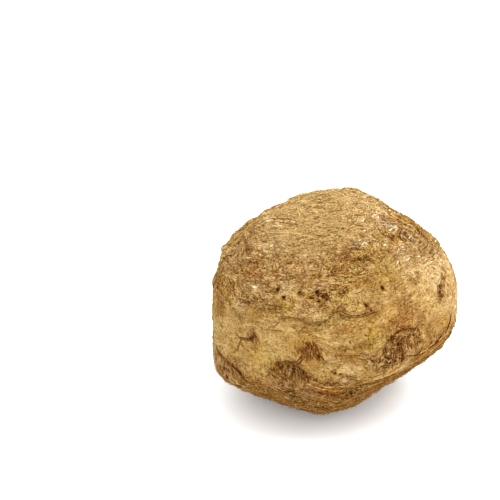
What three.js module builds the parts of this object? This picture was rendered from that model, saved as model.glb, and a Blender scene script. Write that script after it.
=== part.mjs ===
// A trimmed celeriac root, standing on the small flat spot under its weight.
//
// Millimetres, +Z up. The origin is on the resting spot. The root is a single body that grew as
// one piece, so it is one closed mesh: a blunt, many-sided lump whose surface is pushed in and out
// by the forms that growth and the knife have left on it:
//   - the crown, a shallow dish where the leaf stalks were cut away,
//   - the leaf-scar ridges, crescents set in a spiral round the crown,
//   - wrinkled bands that run round the belly,
//   - the dished scars and stubs of side roots that were pared off,
//   - the knobs and clefts of the trimmed root mass underneath.
//
// Every point of the surface lies on a ray from the heart of the root. The rays are set out in
// rings round the line of growth, which leans a little, so the rings of the mesh follow the
// leaf-scar ridges.

import * as THREE from 'three';
import { mergeVertices } from 'three/addons/utils/BufferGeometryUtils.js';

// ---------------------------------------------------------------------------------------------
// Driving dimensions. Azimuths are degrees from +X towards +Y, elevations are degrees above the
// horizontal through the heart, and everything else is in millimetres unless it says otherwise.
// ---------------------------------------------------------------------------------------------

const HEART = new THREE.Vector3( 2, 0, 47 ); // where growth began, above the resting spot
const GROWTH_LEAN = { left: 8, forward: 5 }; // degrees that the crown leans towards -X and -Y
const MEAN_RADIUS = 55; // turns angles at the heart into lengths along the skin

const RINGS = 62; // rows of points from the crown to the underside
const SPOKES = 96; // points in a ring

// The blunt body: [ azimuth, elevation, distance of that side from the heart ].
const BODY_BLEND = 16; // how crisply two sides meet; a higher number is a sharper corner
const CROWN_SIDES = [ [ - 120, 82, 52 ], [ 90, 63, 54.6 ] ];
const SHOULDER_SIDES = [
	[ 15, 26, 57 ], [ 38, 50, 50.2 ], [ 142, 50, 51.6 ], [ 165, 26, 56.8 ],
	[ - 50, 48, 52.5 ], [ - 125, 48, 53.5 ], [ - 90, 32, 55 ],
];
const BELLY_SIDES = [
	[ 0, 0, 57.8 ], [ 180, 0, 56.6 ], [ - 45, 8, 56 ], [ - 135, 8, 57 ], [ - 90, - 4, 56.6 ],
	[ 90, 6, 51 ], [ 48, 5, 52.5 ], [ 132, 5, 53 ],
];
const UNDER_SIDES = [
	[ 195, - 26, 69.5 ], [ 218, - 50, 57 ], [ 240, - 60, 54 ], [ - 62, - 62, 54.8 ], [ 322, - 50, 44 ],
	[ 345, - 27, 55 ], [ - 104, - 36, 55 ], [ - 58, - 32, 54.4 ],
	[ 90, - 36, 51 ], [ 45, - 36, 51 ], [ 135, - 34, 54 ],
];
const BASE_SIDES = [ [ 0, - 90, 50.2 ] ];

// The crown: a dish with a low rim, and the stub of the cut stalks in it.
const CROWN_DISH = { radius: 10, depth: 1.2, rimRadius: 15, rimWidth: 4, rimHeight: 0.5 };

// Leaf-scar ridges: crescents in a spiral, evenly spread over the top of the root.
const LEAF_SCARS = {
	count: 44,
	firstArc: 17, // distance of the first scar from the middle of the crown, along the skin
	lastArc: 66,
	halfWidth: 12,
	height: 1.1,
	innerSlope: 3.2, // length of the gentle side, towards the crown
	outerSlope: 1.7, // length of the steep side
	bow: 3.2, // how far a crescent's ends turn up towards the crown
};
const GOLDEN_ANGLE = 180 * ( 3 - Math.sqrt( 5 ) ); // degrees from one leaf to the next

// Wrinkled bands round the belly: [ distance from the crown along the skin, depth, width ].
const BELLY_BANDS = [ [ 61, 0.9, 2.6 ], [ 67, 0.6, 2.4 ], [ 96, 1.0, 3.2 ] ];
const BAND_WANDER = { height: 3.2, waves: 3 }; // how far a band strays on its way round

// Scars and stubs of side roots that were pared off:
// [ azimuth, elevation, radius, rise of the swelling, depth of the dish in it ].
const ROOT_SCARS = [
	[ - 111, - 6, 9.5, 1.6, 3.4 ], [ - 103, 6, 6.5, 3.4, 0 ], [ - 64, 3, 11, 2.6, 2.8 ],
	[ - 28, 20, 5.5, 1.2, 2.0 ], [ - 132, 4, 4.5, 1.3, 1.8 ], [ - 147, - 17, 8, 2.2, 2.2 ],
	[ - 103, 31, 5, 0.9, 1.6 ], [ - 64, 33, 3.5, 0.6, 1.1 ], [ - 24, - 4, 7, 1.6, 1.6 ],
	[ 22, - 6, 9, 2.4, 2.6 ], [ 61, 12, 6, 1.6, 2.0 ], [ 74, - 16, 10, 2.4, 3.0 ],
	[ 112, 2, 8, 2.2, 2.4 ], [ 150, 14, 5, 1.4, 1.7 ], [ 163, - 12, 9, 2.4, 2.6 ],
	[ 186, 6, 6, 1.6, 1.9 ],
];

// Knobs of the trimmed root mass, in a spiral on the underside, with clefts between them.
// The knife left the side at paredTurn smoother than the rest.
const ROOT_KNOBS = {
	count: 24, firstArc: 22, lastArc: 64, radius: 6.5, height: 3.4, cleft: 1.6,
	paredTurn: - 85, paredShare: 0.85,
};

// Long, low swellings that keep the sides from being even: [ azimuth, elevation, height, radius ].
const SWELLINGS = [
	[ 200, - 30, 1.6, 13 ], [ 10, 40, 0.4, 16 ], [ 78, 30, 1.8, 18 ], [ 120, - 10, 1.5, 20 ],
	[ 30, 8, - 1.4, 16 ], [ 168, 34, 1.4, 15 ], [ 98, 52, - 1.6, 14 ], [ - 76, 52, - 1.3, 9 ],
	[ - 58, 55, 1.4, 9 ], [ - 70, - 54, 2.4, 12 ], [ 55, 58, 1.0, 14 ],
];

const SKIN_COLOUR = 0xbf945a; // tan, corky skin
const SKIN_ROUGHNESS = 0.85;

// ---------------------------------------------------------------------------------------------
// Directions and small helpers
// ---------------------------------------------------------------------------------------------

const radians = THREE.MathUtils.degToRad;

// The unit vector at an azimuth and an elevation, in degrees.
function direction( azimuth, elevation ) {

	const level = Math.cos( radians( elevation ) );
	return new THREE.Vector3(
		level * Math.cos( radians( azimuth ) ),
		level * Math.sin( radians( azimuth ) ),
		Math.sin( radians( elevation ) )
	);

}

// Growth axis and the two directions square to it that azimuths round the crown count from.
const growthAxis = new THREE.Vector3(
	- Math.sin( radians( GROWTH_LEAN.left ) ), - Math.sin( radians( GROWTH_LEAN.forward ) ), 0
);
growthAxis.z = Math.sqrt( 1 - growthAxis.lengthSq() );
const crownX = new THREE.Vector3( 1, 0, 0 ).addScaledVector( growthAxis, - growthAxis.x ).normalize();
const crownY = growthAxis.clone().cross( crownX );

// A smooth bump: 1 at zero, falling to 1/e at one width.
const bump = ( distance, width ) => Math.exp( - ( ( distance / width ) ** 2 ) );

// Distance along the skin between two directions from the heart.
const skinDistance = ( a, b ) => MEAN_RADIUS * a.angleTo( b );

// A repeatable stream of numbers from 0 to 1, so that every build is the same.
function drawNumbers( seed ) {

	const modulus = 4294967296;
	let state = seed;
	return () => {

		state = ( state * 1664525 + 1013904223 ) % modulus;
		return state / modulus;

	};

}

// Places on a spiral round the growth axis, spread evenly over the skin between two distances
// from its pole. Each gets its own share of chance: sideways, along and in strength.
function spiral( { count, firstArc, lastArc }, seed ) {

	const draw = drawNumbers( seed );
	return Array.from( { length: count }, ( _, index ) => {

		const share = ( index + 0.5 ) / count;
		const arc = Math.sqrt( firstArc ** 2 + share * ( lastArc ** 2 - firstArc ** 2 ) );
		return {
			turn: index * GOLDEN_ANGLE + 24 * ( draw() - 0.5 ),
			arc: arc + 4 * ( draw() - 0.5 ),
			strength: 0.55 + 0.9 * draw(),
		};

	} );

}

// ---------------------------------------------------------------------------------------------
// The forms
// ---------------------------------------------------------------------------------------------

const bodySides = [ ...CROWN_SIDES, ...SHOULDER_SIDES, ...BELLY_SIDES, ...UNDER_SIDES, ...BASE_SIDES ]
	.map( ( [ azimuth, elevation, distance ] ) => direction( azimuth, elevation ).divideScalar( distance ) );

// Distance from the heart to the blunt body: all its sides, rounded into one another.
function bodyRadius( ray ) {

	const nearness = bodySides.reduce(
		( sum, side ) => sum + Math.max( 0, ray.dot( side ) ) ** BODY_BLEND, 0
	);
	return nearness ** ( - 1 / BODY_BLEND );

}

// The crown's dish and rim, by distance from its middle.
function crownRelief( place ) {

	const { radius, depth, rimRadius, rimWidth, rimHeight } = CROWN_DISH;
	return rimHeight * bump( place.arc - rimRadius, rimWidth ) - depth * bump( place.arc, radius );

}

const leafScars = spiral( LEAF_SCARS, 11 );

// The crescents: gentle towards the crown, steep on the side away from it, with bowed ends.
function leafScarRelief( place ) {

	const { halfWidth, height, innerSlope, outerSlope, bow } = LEAF_SCARS;
	let relief = 0;
	for ( const scar of leafScars ) {

		const turn = THREE.MathUtils.euclideanModulo( place.turn - scar.turn + 180, 360 ) - 180;
		const across = radians( turn ) * MEAN_RADIUS * Math.sin( scar.arc / MEAN_RADIUS );
		const along = place.arc - scar.arc + bow * ( across / halfWidth ) ** 2;
		const slope = along < 0 ? innerSlope : outerSlope;
		relief += scar.strength * bump( across, halfWidth ) * bump( along, slope );

	}

	return height * relief;

}

// Grooves round the belly. They stray up and down and fade in and out on their way round.
function bandRelief( place ) {

	const turn = radians( place.turn );
	return BELLY_BANDS.reduce( ( sum, [ arc, depth, width ], index ) => {

		const stray = BAND_WANDER.height * Math.sin( BAND_WANDER.waves * turn + 2.1 * index );
		const fade = 0.6 + 0.4 * Math.sin( 2 * turn + 1.7 * index );
		return sum - depth * fade * bump( place.arc - arc - stray, width );

	}, 0 );

}

const rootScars = ROOT_SCARS.map( ( [ azimuth, elevation, radius, rise, depth ] ) =>
	( { centre: direction( azimuth, elevation ), radius, rise, depth } ) );

// A swelling with a dish pared out of its top.
function rootScarRelief( ray ) {

	return rootScars.reduce( ( sum, { centre, radius, rise, depth } ) => {

		const distance = skinDistance( ray, centre );
		return sum + rise * bump( distance, 1.25 * radius ) - depth * bump( distance, 0.62 * radius );

	}, 0 );

}

const rootKnobs = spiral( ROOT_KNOBS, 29 );

// Round knobs on the underside. What lies between them is a cleft.
function rootKnobRelief( place ) {

	const { radius, height, cleft, lastArc, paredTurn, paredShare } = ROOT_KNOBS;
	const underside = bump( Math.max( 0, place.underArc - 0.8 * lastArc ), 0.35 * lastArc );
	const pared = paredShare * Math.max( 0, Math.cos( radians( place.turn - paredTurn ) ) ) ** 0.5;
	let knob = 0;
	for ( const { turn, arc, strength } of rootKnobs ) {

		const east = place.underArc * Math.cos( radians( place.turn ) ) - arc * Math.cos( radians( turn ) );
		const north = place.underArc * Math.sin( radians( place.turn ) ) - arc * Math.sin( radians( turn ) );
		knob += strength * bump( Math.hypot( east, north ), radius );

	}

	return underside * ( 1 - pared ) * ( height * knob - cleft );

}

const swellings = SWELLINGS.map( ( [ azimuth, elevation, height, radius ] ) =>
	( { centre: direction( azimuth, elevation ), height, radius } ) );

function swellingRelief( ray ) {

	return swellings.reduce( ( sum, { centre, height, radius } ) =>
		sum + height * bump( skinDistance( ray, centre ), radius ), 0 );

}

// ---------------------------------------------------------------------------------------------
// The skin
// ---------------------------------------------------------------------------------------------

// The ray from the heart at an angle from the growth axis and a turn round it, in radians.
function rayAt( angle, turn ) {

	return new THREE.Vector3()
		.addScaledVector( growthAxis, Math.cos( angle ) )
		.addScaledVector( crownX, Math.sin( angle ) * Math.cos( turn ) )
		.addScaledVector( crownY, Math.sin( angle ) * Math.sin( turn ) );

}

// The skin's point at an angle from the growth axis and a turn round it. Nothing reaches below
// the surface that the root rests on, which leaves the flat resting spot.
function skinPoint( angle, turn ) {

	const ray = rayAt( angle, turn );
	const place = {
		arc: MEAN_RADIUS * angle,
		underArc: MEAN_RADIUS * ( Math.PI - angle ),
		turn: THREE.MathUtils.radToDeg( turn ),
	};
	const radius = bodyRadius( ray ) + crownRelief( place ) + leafScarRelief( place ) + bandRelief( place )
		+ rootScarRelief( ray ) + rootKnobRelief( place ) + swellingRelief( ray );
	const point = ray.multiplyScalar( radius ).add( HEART );
	point.z = Math.max( 0, point.z );
	return point;

}

// The closed skin: rings of points from pole to pole, with two triangles between neighbours.
function skinGeometry() {

	const positions = [];
	for ( let ring = 0; ring <= RINGS; ring ++ ) {

		for ( let spoke = 0; spoke < SPOKES; spoke ++ ) {

			const atPole = ring === 0 || ring === RINGS;
			const turn = atPole ? 0 : 2 * Math.PI * spoke / SPOKES;
			positions.push( ...skinPoint( Math.PI * ring / RINGS, turn ).toArray() );

		}

	}

	const triangles = [];
	for ( let ring = 0; ring < RINGS; ring ++ ) {

		for ( let spoke = 0; spoke < SPOKES; spoke ++ ) {

			const next = ( spoke + 1 ) % SPOKES;
			const above = [ ring * SPOKES + spoke, ring * SPOKES + next ];
			const below = [ above[ 0 ] + SPOKES, above[ 1 ] + SPOKES ];
			if ( ring < RINGS - 1 ) triangles.push( above[ 0 ], below[ 0 ], below[ 1 ] );
			if ( ring > 0 ) triangles.push( above[ 0 ], below[ 1 ], above[ 1 ] );

		}

	}

	const geometry = new THREE.BufferGeometry();
	geometry.setAttribute( 'position', new THREE.Float32BufferAttribute( positions, 3 ) );
	geometry.setIndex( triangles );
	const merged = mergeVertices( geometry, 1e-4 );
	merged.computeVertexNormals();
	return merged;

}

// ---------------------------------------------------------------------------------------------
// The root
// ---------------------------------------------------------------------------------------------

const root = new THREE.Mesh(
	skinGeometry(),
	new THREE.MeshStandardMaterial( { color: SKIN_COLOUR, roughness: SKIN_ROUGHNESS, metalness: 0 } )
);
root.name = 'celeriac_root';

const celeriac = new THREE.Group();
celeriac.add( root );

export default celeriac;
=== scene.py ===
"""A trimmed celeriac root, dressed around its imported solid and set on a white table.

The solid's own formulas are worked out again here on a finer grid, and the skin's small forms are
added to them: overlapping leaf scars, wrinkles along the grain, pits, fibrous root scars and the
matted underside. Loose fibres and papery flakes are meshes of their own that lie on that skin.

Lengths are millimetres until a mesh is made, and metres after that. Azimuths are degrees from +X
towards +Y, and elevations are degrees above the horizontal through the root's heart.
"""

from __future__ import annotations

import itertools
import logging
import math
from collections.abc import Iterator
from dataclasses import dataclass, fields
from enum import Enum

import bpy
import numpy as np
from mathutils import Matrix, Vector

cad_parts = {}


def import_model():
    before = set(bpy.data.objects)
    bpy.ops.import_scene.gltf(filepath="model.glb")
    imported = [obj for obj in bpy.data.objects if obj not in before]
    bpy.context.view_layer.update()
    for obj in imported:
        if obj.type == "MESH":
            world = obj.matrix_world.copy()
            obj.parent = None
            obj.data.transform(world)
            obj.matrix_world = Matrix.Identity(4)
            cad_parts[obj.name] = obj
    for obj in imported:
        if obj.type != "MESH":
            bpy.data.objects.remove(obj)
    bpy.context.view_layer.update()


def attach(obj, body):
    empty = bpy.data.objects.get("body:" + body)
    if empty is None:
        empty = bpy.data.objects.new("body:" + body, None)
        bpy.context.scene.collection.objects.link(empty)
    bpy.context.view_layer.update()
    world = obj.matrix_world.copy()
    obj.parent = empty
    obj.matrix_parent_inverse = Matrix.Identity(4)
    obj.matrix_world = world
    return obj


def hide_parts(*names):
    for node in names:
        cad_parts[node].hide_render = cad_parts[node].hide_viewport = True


log = logging.getLogger("celeriac")

Array = np.ndarray
Colour = bpy.types.NodeSocket | tuple[float, float, float, float]
Numbers = dict[str, bpy.types.NodeSocket]
MM = 0.001  # metres in a millimetre
TINY = 1e-9  # added to a length before it divides, so that it is never zero

BODY = "root"
NODE = "celeriac_root"


# ---------------------------------------------------------------------------------------------
# Small mathematics
# ---------------------------------------------------------------------------------------------


def direction(azimuth: Array | float, elevation: Array | float) -> Array:
    """Unit vectors, x, y and z along the last axis, at azimuths and elevations in degrees."""
    a, e = np.radians(azimuth), np.radians(elevation)
    return np.stack([np.cos(a) * np.cos(e), np.sin(a) * np.cos(e), np.sin(e)], axis=-1)


def bump(distance: Array, width: Array | float) -> Array:
    """A smooth bump: 1 at zero, falling to 1/e at one width."""
    return np.exp(-((distance / width) ** 2))


def ramp(value: Array, start: float, end: float) -> Array:
    """0 before start, 1 after end and a smooth cubic between them; start may be the larger."""
    share = np.clip((value - start) / (end - start), 0.0, 1.0)
    return share * share * (3.0 - 2.0 * share)


def lattice_noise(points: Array, seed: int) -> Array:
    """Smooth noise from about -1 to 1.

    Each whole-number corner has a random slope. A point takes the heights that the slopes of its
    eight corners give it, blended by a quintic curve of its place in the cell.

    Args:
        points: places, three numbers along the last axis, in cells.
        seed: picks the slopes.

    Returns:
        One number for each point.
    """
    table_size = 4096
    mix_x, mix_y, mix_z = 73856093, 19349663, 83492791  # large primes that scatter the corners
    to_full_range = 1.7
    slopes = np.random.default_rng(seed).normal(size=(table_size, 3))
    slopes /= np.linalg.norm(slopes, axis=1)[:, None]
    cell = np.floor(points).astype(np.int64)
    part = points - cell
    fade = part**3 * (part * (part * 6.0 - 15.0) + 10.0)
    total = np.zeros(points.shape[:-1])
    for corner in itertools.product((0, 1), repeat=3):
        at = cell + corner
        index = (at[..., 0] * mix_x ^ at[..., 1] * mix_y ^ at[..., 2] * mix_z) % table_size
        weight = np.prod(np.where(corner, fade, 1.0 - fade), axis=-1)
        total += weight * np.sum(slopes[index] * (part - corner), axis=-1)
    return to_full_range * total


def ridged(points: Array, seed: int) -> Array:
    """Noise folded at zero: sharp crests at 1 that fall to about -1 between them."""
    fall = 2.6
    return 1.0 - fall * np.abs(lattice_noise(points, seed))


def draw_numbers(seed: int) -> Iterator[float]:
    """The solid's own stream of numbers, so that its scars and knobs come again.

    Each state is the one before times a factor, plus a step, with only its last 32 bits kept.

    Args:
        seed: the first state.

    Yields:
        Numbers from 0 to 1.
    """
    factor, step, modulus = 1664525, 1013904223, 2**32
    state = seed
    while True:
        state = (state * factor + step) % modulus
        yield state / modulus


# ---------------------------------------------------------------------------------------------
# The root's form, as in the solid
# ---------------------------------------------------------------------------------------------


@dataclass(frozen=True)
class Spiral:
    """Places on a spiral round the growth axis, spread evenly over the skin.

    Attributes:
        turn: degrees round the axis.
        arc: distance from the spiral's pole along the skin.
        strength: each place's own share of the height, about 1.
    """

    turn: Array
    arc: Array
    strength: Array

    TURN_STRAY = 24.0  # degrees between the furthest strays
    ARC_STRAY = 4.0  # millimetres between them along the skin
    WEAKEST = 0.55
    STRENGTH_RANGE = 0.9

    @classmethod
    def laid(cls, count: int, first_arc: float, last_arc: float, seed: int) -> Spiral:
        """Lays places a golden angle apart, each moved a little by the solid's draws.

        Args:
            count: how many.
            first_arc, last_arc: distances from the pole between which they lie.
            seed: starts the draws.

        Returns:
            The places.
        """
        golden_angle = 180.0 * (3.0 - math.sqrt(5.0))
        draws = draw_numbers(seed)
        chance = np.array([[next(draws) for _ in range(3)] for _ in range(count)])
        index = np.arange(count)
        share = (index + 0.5) / count
        arc = np.sqrt(first_arc**2 + share * (last_arc**2 - first_arc**2))
        return cls(
            turn=index * golden_angle + cls.TURN_STRAY * (chance[:, 0] - 0.5),
            arc=arc + cls.ARC_STRAY * (chance[:, 1] - 0.5),
            strength=cls.WEAKEST + cls.STRENGTH_RANGE * chance[:, 2],
        )


@dataclass(frozen=True)
class Place:
    """Where rays from the heart meet the skin, in growth coordinates.

    Attributes:
        rays: unit vectors from the heart.
        arc: distance from the middle of the crown along the skin.
        under_arc: the same distance from the pole underneath.
        turn: degrees round the growth axis.
        east, north: the ray's reach square to the growth axis.
    """

    rays: Array
    arc: Array
    under_arc: Array
    turn: Array
    east: Array
    north: Array


@dataclass(frozen=True)
class RootForm:
    """The blunt body and the forms that stand on it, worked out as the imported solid's are."""

    heart: tuple[float, float, float] = (2.0, 0.0, 47.0)
    lean_left: float = 8.0
    lean_forward: float = 5.0
    mean_radius: float = 55.0

    body_blend: float = 16.0  # the higher, the tighter the turns between the sides

    # azimuth, elevation and reach of the sides that bound the body
    sides: tuple[tuple[float, float, float], ...] = (
        # crown
        (-120, 82, 52), (90, 63, 54.6),
        # shoulders
        (15, 26, 57), (38, 50, 50.2), (142, 50, 51.6), (165, 26, 56.8),
        (-50, 48, 52.5), (-125, 48, 53.5), (-90, 32, 55),
        # belly
        (0, 0, 57.8), (180, 0, 56.6), (-45, 8, 56), (-135, 8, 57), (-90, -4, 56.6),
        (90, 6, 51), (48, 5, 52.5), (132, 5, 53),
        # underside
        (195, -26, 69.5), (218, -50, 57), (240, -60, 54), (-62, -62, 54.8), (322, -50, 44),
        (345, -27, 55), (-104, -36, 55), (-58, -32, 54.4),
        (90, -36, 51), (45, -36, 51), (135, -34, 54),
        # base
        (0, -90, 50.2),
    )  # fmt: skip

    # the dish where the leaves were cut off
    dish_radius: float = 10.0
    dish_depth: float = 1.2
    dish_rim: tuple[float, float, float] = (15.0, 4.0, 0.5)  # radius, width, height

    leaf_scars: tuple[int, float, float, int] = (44, 17.0, 66.0, 11)  # count, arcs, seed
    leaf_half_width: float = 12.0
    leaf_height: float = 1.1
    leaf_inner_slope: float = 3.2
    leaf_bow: float = 3.2

    # arc, depth and width of the grooves round the belly, how far they stray and how they fade
    belly_bands: tuple[tuple[float, float, float], ...] = (
        (61, 0.9, 2.6), (67, 0.6, 2.4), (96, 1.0, 3.2),
    )  # fmt: skip
    band_height: float = 3.2
    band_waves: int = 3
    band_phase: float = 2.1  # radians from one groove's stray to the next one's
    fade_middle: float = 0.6
    fade_height: float = 0.4
    fade_waves: float = 2.0
    fade_phase: float = 1.7

    # azimuth, elevation, radius, rise of the swelling, depth of the dish in it
    root_scars: tuple[tuple[float, float, float, float, float], ...] = (
        (-111, -6, 9.5, 1.6, 3.4), (-103, 6, 6.5, 3.4, 0), (-64, 3, 11, 2.6, 2.8),
        (-28, 20, 5.5, 1.2, 2.0), (-132, 4, 4.5, 1.3, 1.8), (-147, -17, 8, 2.2, 2.2),
        (-103, 31, 5, 0.9, 1.6), (-64, 33, 3.5, 0.6, 1.1), (-24, -4, 7, 1.6, 1.6),
        (22, -6, 9, 2.4, 2.6), (61, 12, 6, 1.6, 2.0), (74, -16, 10, 2.4, 3.0),
        (112, 2, 8, 2.2, 2.4), (150, 14, 5, 1.4, 1.7), (163, -12, 9, 2.4, 2.6),
        (186, 6, 6, 1.6, 1.9),
    )  # fmt: skip
    scar_swelling_width: float = 1.25  # in scar radii, and so is the dish's
    scar_dish_width: float = 0.62

    root_knobs: tuple[int, float, float, int] = (24, 22.0, 64.0, 29)  # count, arcs, seed
    knob_radius: float = 6.5
    knob_height: float = 3.4
    knob_cleft: float = 1.6
    knob_end: tuple[float, float] = (0.8, 0.35)  # where they fade and how fast, in last arcs
    pared_turn: float = -85.0  # the side where the roots were pared off
    pared_share: float = 0.85

    # azimuth, elevation, height, radius
    swellings: tuple[tuple[float, float, float, float], ...] = (
        (200, -30, 1.6, 13), (10, 40, 0.4, 16), (78, 30, 1.8, 18), (120, -10, 1.5, 20),
        (30, 8, -1.4, 16), (168, 34, 1.4, 15), (98, 52, -1.6, 14), (-76, 52, -1.3, 9),
        (-58, 55, 1.4, 9), (-70, -54, 2.4, 12), (55, 58, 1.0, 14),
    )  # fmt: skip

    def axes(self) -> tuple[Array, Array, Array]:
        """The growth axis, which leans a little, and two directions square to it.

        Returns:
            Unit vectors along the axis, where turns are 0 and where they are 90 degrees.
        """
        across = np.array([-math.sin(math.radians(lean)) for lean in (self.lean_left, self.lean_forward)])
        axis = np.array([*across, math.sqrt(1.0 - across @ across)])
        crown_x = np.array([1.0, 0.0, 0.0]) - axis[0] * axis
        crown_x /= np.linalg.norm(crown_x)
        return axis, crown_x, np.cross(axis, crown_x)

    def place(self, rays: Array) -> Place:
        """Growth coordinates. Distances along the skin are those on a sphere of the mean radius.

        Args:
            rays: unit vectors from the heart.

        Returns:
            The places where they meet the skin.
        """
        axis, crown_x, crown_y = self.axes()
        angle = np.arccos(np.clip(rays @ axis, -1.0, 1.0))
        east, north = rays @ crown_x, rays @ crown_y
        return Place(
            rays=rays,
            arc=self.mean_radius * angle,
            under_arc=self.mean_radius * (math.pi - angle),
            turn=np.degrees(np.arctan2(north, east)),
            east=self.mean_radius * east,
            north=self.mean_radius * north,
        )

    def rays(self, arc: Array, turn: Array) -> Array:
        """The rays that meet the skin at given places, the reverse of place.

        Args:
            arc: distances from the middle of the crown along the skin.
            turn: degrees round the growth axis.

        Returns:
            Unit vectors from the heart.
        """
        axis, crown_x, crown_y = self.axes()
        angle, turn = (arc / self.mean_radius)[..., None], np.radians(turn)[..., None]
        return np.cos(angle) * axis + np.sin(angle) * (np.cos(turn) * crown_x + np.sin(turn) * crown_y)

    def distance(self, rays: Array, azimuth: float, elevation: float) -> Array:
        """Distance along the skin from each ray to the direction given."""
        return self.mean_radius * np.arccos(np.clip(rays @ direction(azimuth, elevation), -1.0, 1.0))

    def body_radius(self, rays: Array) -> Array:
        """Distance from the heart to the blunt body: all its sides, rounded into one another.

        A ray's nearness to a side is the cosine between them over the side's reach. The distance
        is one over the sum of all the nearnesses, each raised to a high power before the sum and
        the sum brought back by the same root.

        Args:
            rays: unit vectors from the heart.

        Returns:
            The distances in millimetres.
        """
        sides = np.array([direction(azimuth, elevation) / reach for azimuth, elevation, reach in self.sides])
        nearness = np.maximum(rays @ sides.T, 0.0)
        return np.sum(nearness**self.body_blend, axis=-1) ** (-1.0 / self.body_blend)

    def crescents(
        self, place: Place, spiral: Spiral, half_width: float, bow: float, slopes: tuple[float, float]
    ) -> Array:
        """Sum of crescents, gentle towards the crown, steep away from it and turned up at the ends.

        A crescent is one bump across it times another along it, whose middle moves towards the
        crown by the bow times the square of the distance across.

        Args:
            place: where on the skin.
            spiral: the middle of each crescent and its strength.
            half_width: how far a crescent reaches to each side.
            bow: how far its ends turn up at one half width.
            slopes: lengths of its inner and outer slopes.

        Returns:
            Heights in crescents.
        """
        relief = np.zeros(place.arc.shape)
        for turn, arc, strength in zip(spiral.turn, spiral.arc, spiral.strength):
            away = (place.turn - turn + 180.0) % 360.0 - 180.0
            across = np.radians(away) * self.mean_radius * math.sin(arc / self.mean_radius)
            along = place.arc - arc + bow * (across / half_width) ** 2
            slope = np.where(along < 0.0, slopes[0], slopes[1])
            relief += strength * bump(across, half_width) * bump(along, slope)
        return relief

    def leaf_relief(self, place: Place, outer_slope: float) -> Array:
        """The large leaf-scar ridges.

        Args:
            place: where on the skin.
            outer_slope: length of their steep side.

        Returns:
            Heights in millimetres.
        """
        spiral = Spiral.laid(*self.leaf_scars)
        slopes = (self.leaf_inner_slope, outer_slope)
        return self.leaf_height * self.crescents(place, spiral, self.leaf_half_width, self.leaf_bow, slopes)

    def crown_relief(self, place: Place) -> Array:
        """The crown's dish, a bump taken off at its middle, and its low rim, a bump round that.

        Args:
            place: where on the skin.

        Returns:
            Heights in millimetres.
        """
        rim_radius, rim_width, rim_height = self.dish_rim
        rim = rim_height * bump(place.arc - rim_radius, rim_width)
        return rim - self.dish_depth * bump(place.arc, self.dish_radius)

    def band_relief(self, place: Place) -> Array:
        """Grooves round the belly that stray and fade, by sine waves, on their way round.

        Args:
            place: where on the skin.

        Returns:
            Heights in millimetres.
        """
        turn = np.radians(place.turn)
        relief = np.zeros(place.arc.shape)
        for index, (arc, depth, width) in enumerate(self.belly_bands):
            stray = self.band_height * np.sin(self.band_waves * turn + self.band_phase * index)
            fade = np.sin(self.fade_waves * turn + self.fade_phase * index)
            depth_here = depth * (self.fade_middle + self.fade_height * fade)
            relief -= depth_here * bump(place.arc - arc - stray, width)
        return relief

    def scar_relief(self, place: Place) -> Array:
        """A wide bump for each root scar, less a narrower one for the dish pared out of its top.

        Args:
            place: where on the skin.

        Returns:
            Heights in millimetres.
        """
        relief = np.zeros(place.arc.shape)
        for azimuth, elevation, radius, rise, depth in self.root_scars:
            away = self.distance(place.rays, azimuth, elevation)
            swelling = rise * bump(away, self.scar_swelling_width * radius)
            relief += swelling - depth * bump(away, self.scar_dish_width * radius)
        return relief

    def knob_relief(self, place: Place) -> Array:
        """Round knobs on the underside, lower on the pared side, with clefts between them.

        A knob is a bump about its middle, measured on the skin laid out flat round the lower pole.

        Args:
            place: where on the skin.

        Returns:
            Heights in millimetres.
        """
        spiral = Spiral.laid(*self.root_knobs)
        last_arc = self.root_knobs[2]
        fade_from, fade_over = self.knob_end
        beyond = np.maximum(0.0, place.under_arc - fade_from * last_arc)
        underside = bump(beyond, fade_over * last_arc)
        facing = np.cos(np.radians(place.turn - self.pared_turn))
        pared = self.pared_share * np.sqrt(np.maximum(0.0, facing))
        turn = np.radians(place.turn)
        knobs = np.zeros(place.arc.shape)
        for knob_turn, arc, strength in zip(np.radians(spiral.turn), spiral.arc, spiral.strength):
            east = place.under_arc * np.cos(turn) - arc * math.cos(knob_turn)
            north = place.under_arc * np.sin(turn) - arc * math.sin(knob_turn)
            knobs += strength * bump(np.hypot(east, north), self.knob_radius)
        return underside * (1.0 - pared) * (self.knob_height * knobs - self.knob_cleft)

    def swelling_relief(self, place: Place) -> Array:
        """Long, low swellings and hollows, one bump each.

        Args:
            place: where on the skin.

        Returns:
            Heights in millimetres.
        """
        relief = np.zeros(place.arc.shape)
        for azimuth, elevation, height, radius in self.swellings:
            relief += height * bump(self.distance(place.rays, azimuth, elevation), radius)
        return relief

    def radius(self, place: Place, leaf_outer_slope: float) -> Array:
        """Distance from the heart to the solid's skin: the body's, and all the reliefs on it.

        Args:
            place: where on the skin.
            leaf_outer_slope: length of the steep side of the leaf-scar ridges.

        Returns:
            The distances in millimetres.
        """
        return (
            self.body_radius(place.rays)
            + self.crown_relief(place)
            + self.leaf_relief(place, leaf_outer_slope)
            + self.band_relief(place)
            + self.scar_relief(place)
            + self.knob_relief(place)
            + self.swelling_relief(place)
        )


# ---------------------------------------------------------------------------------------------
# The skin's fine forms and marks
# ---------------------------------------------------------------------------------------------


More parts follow.
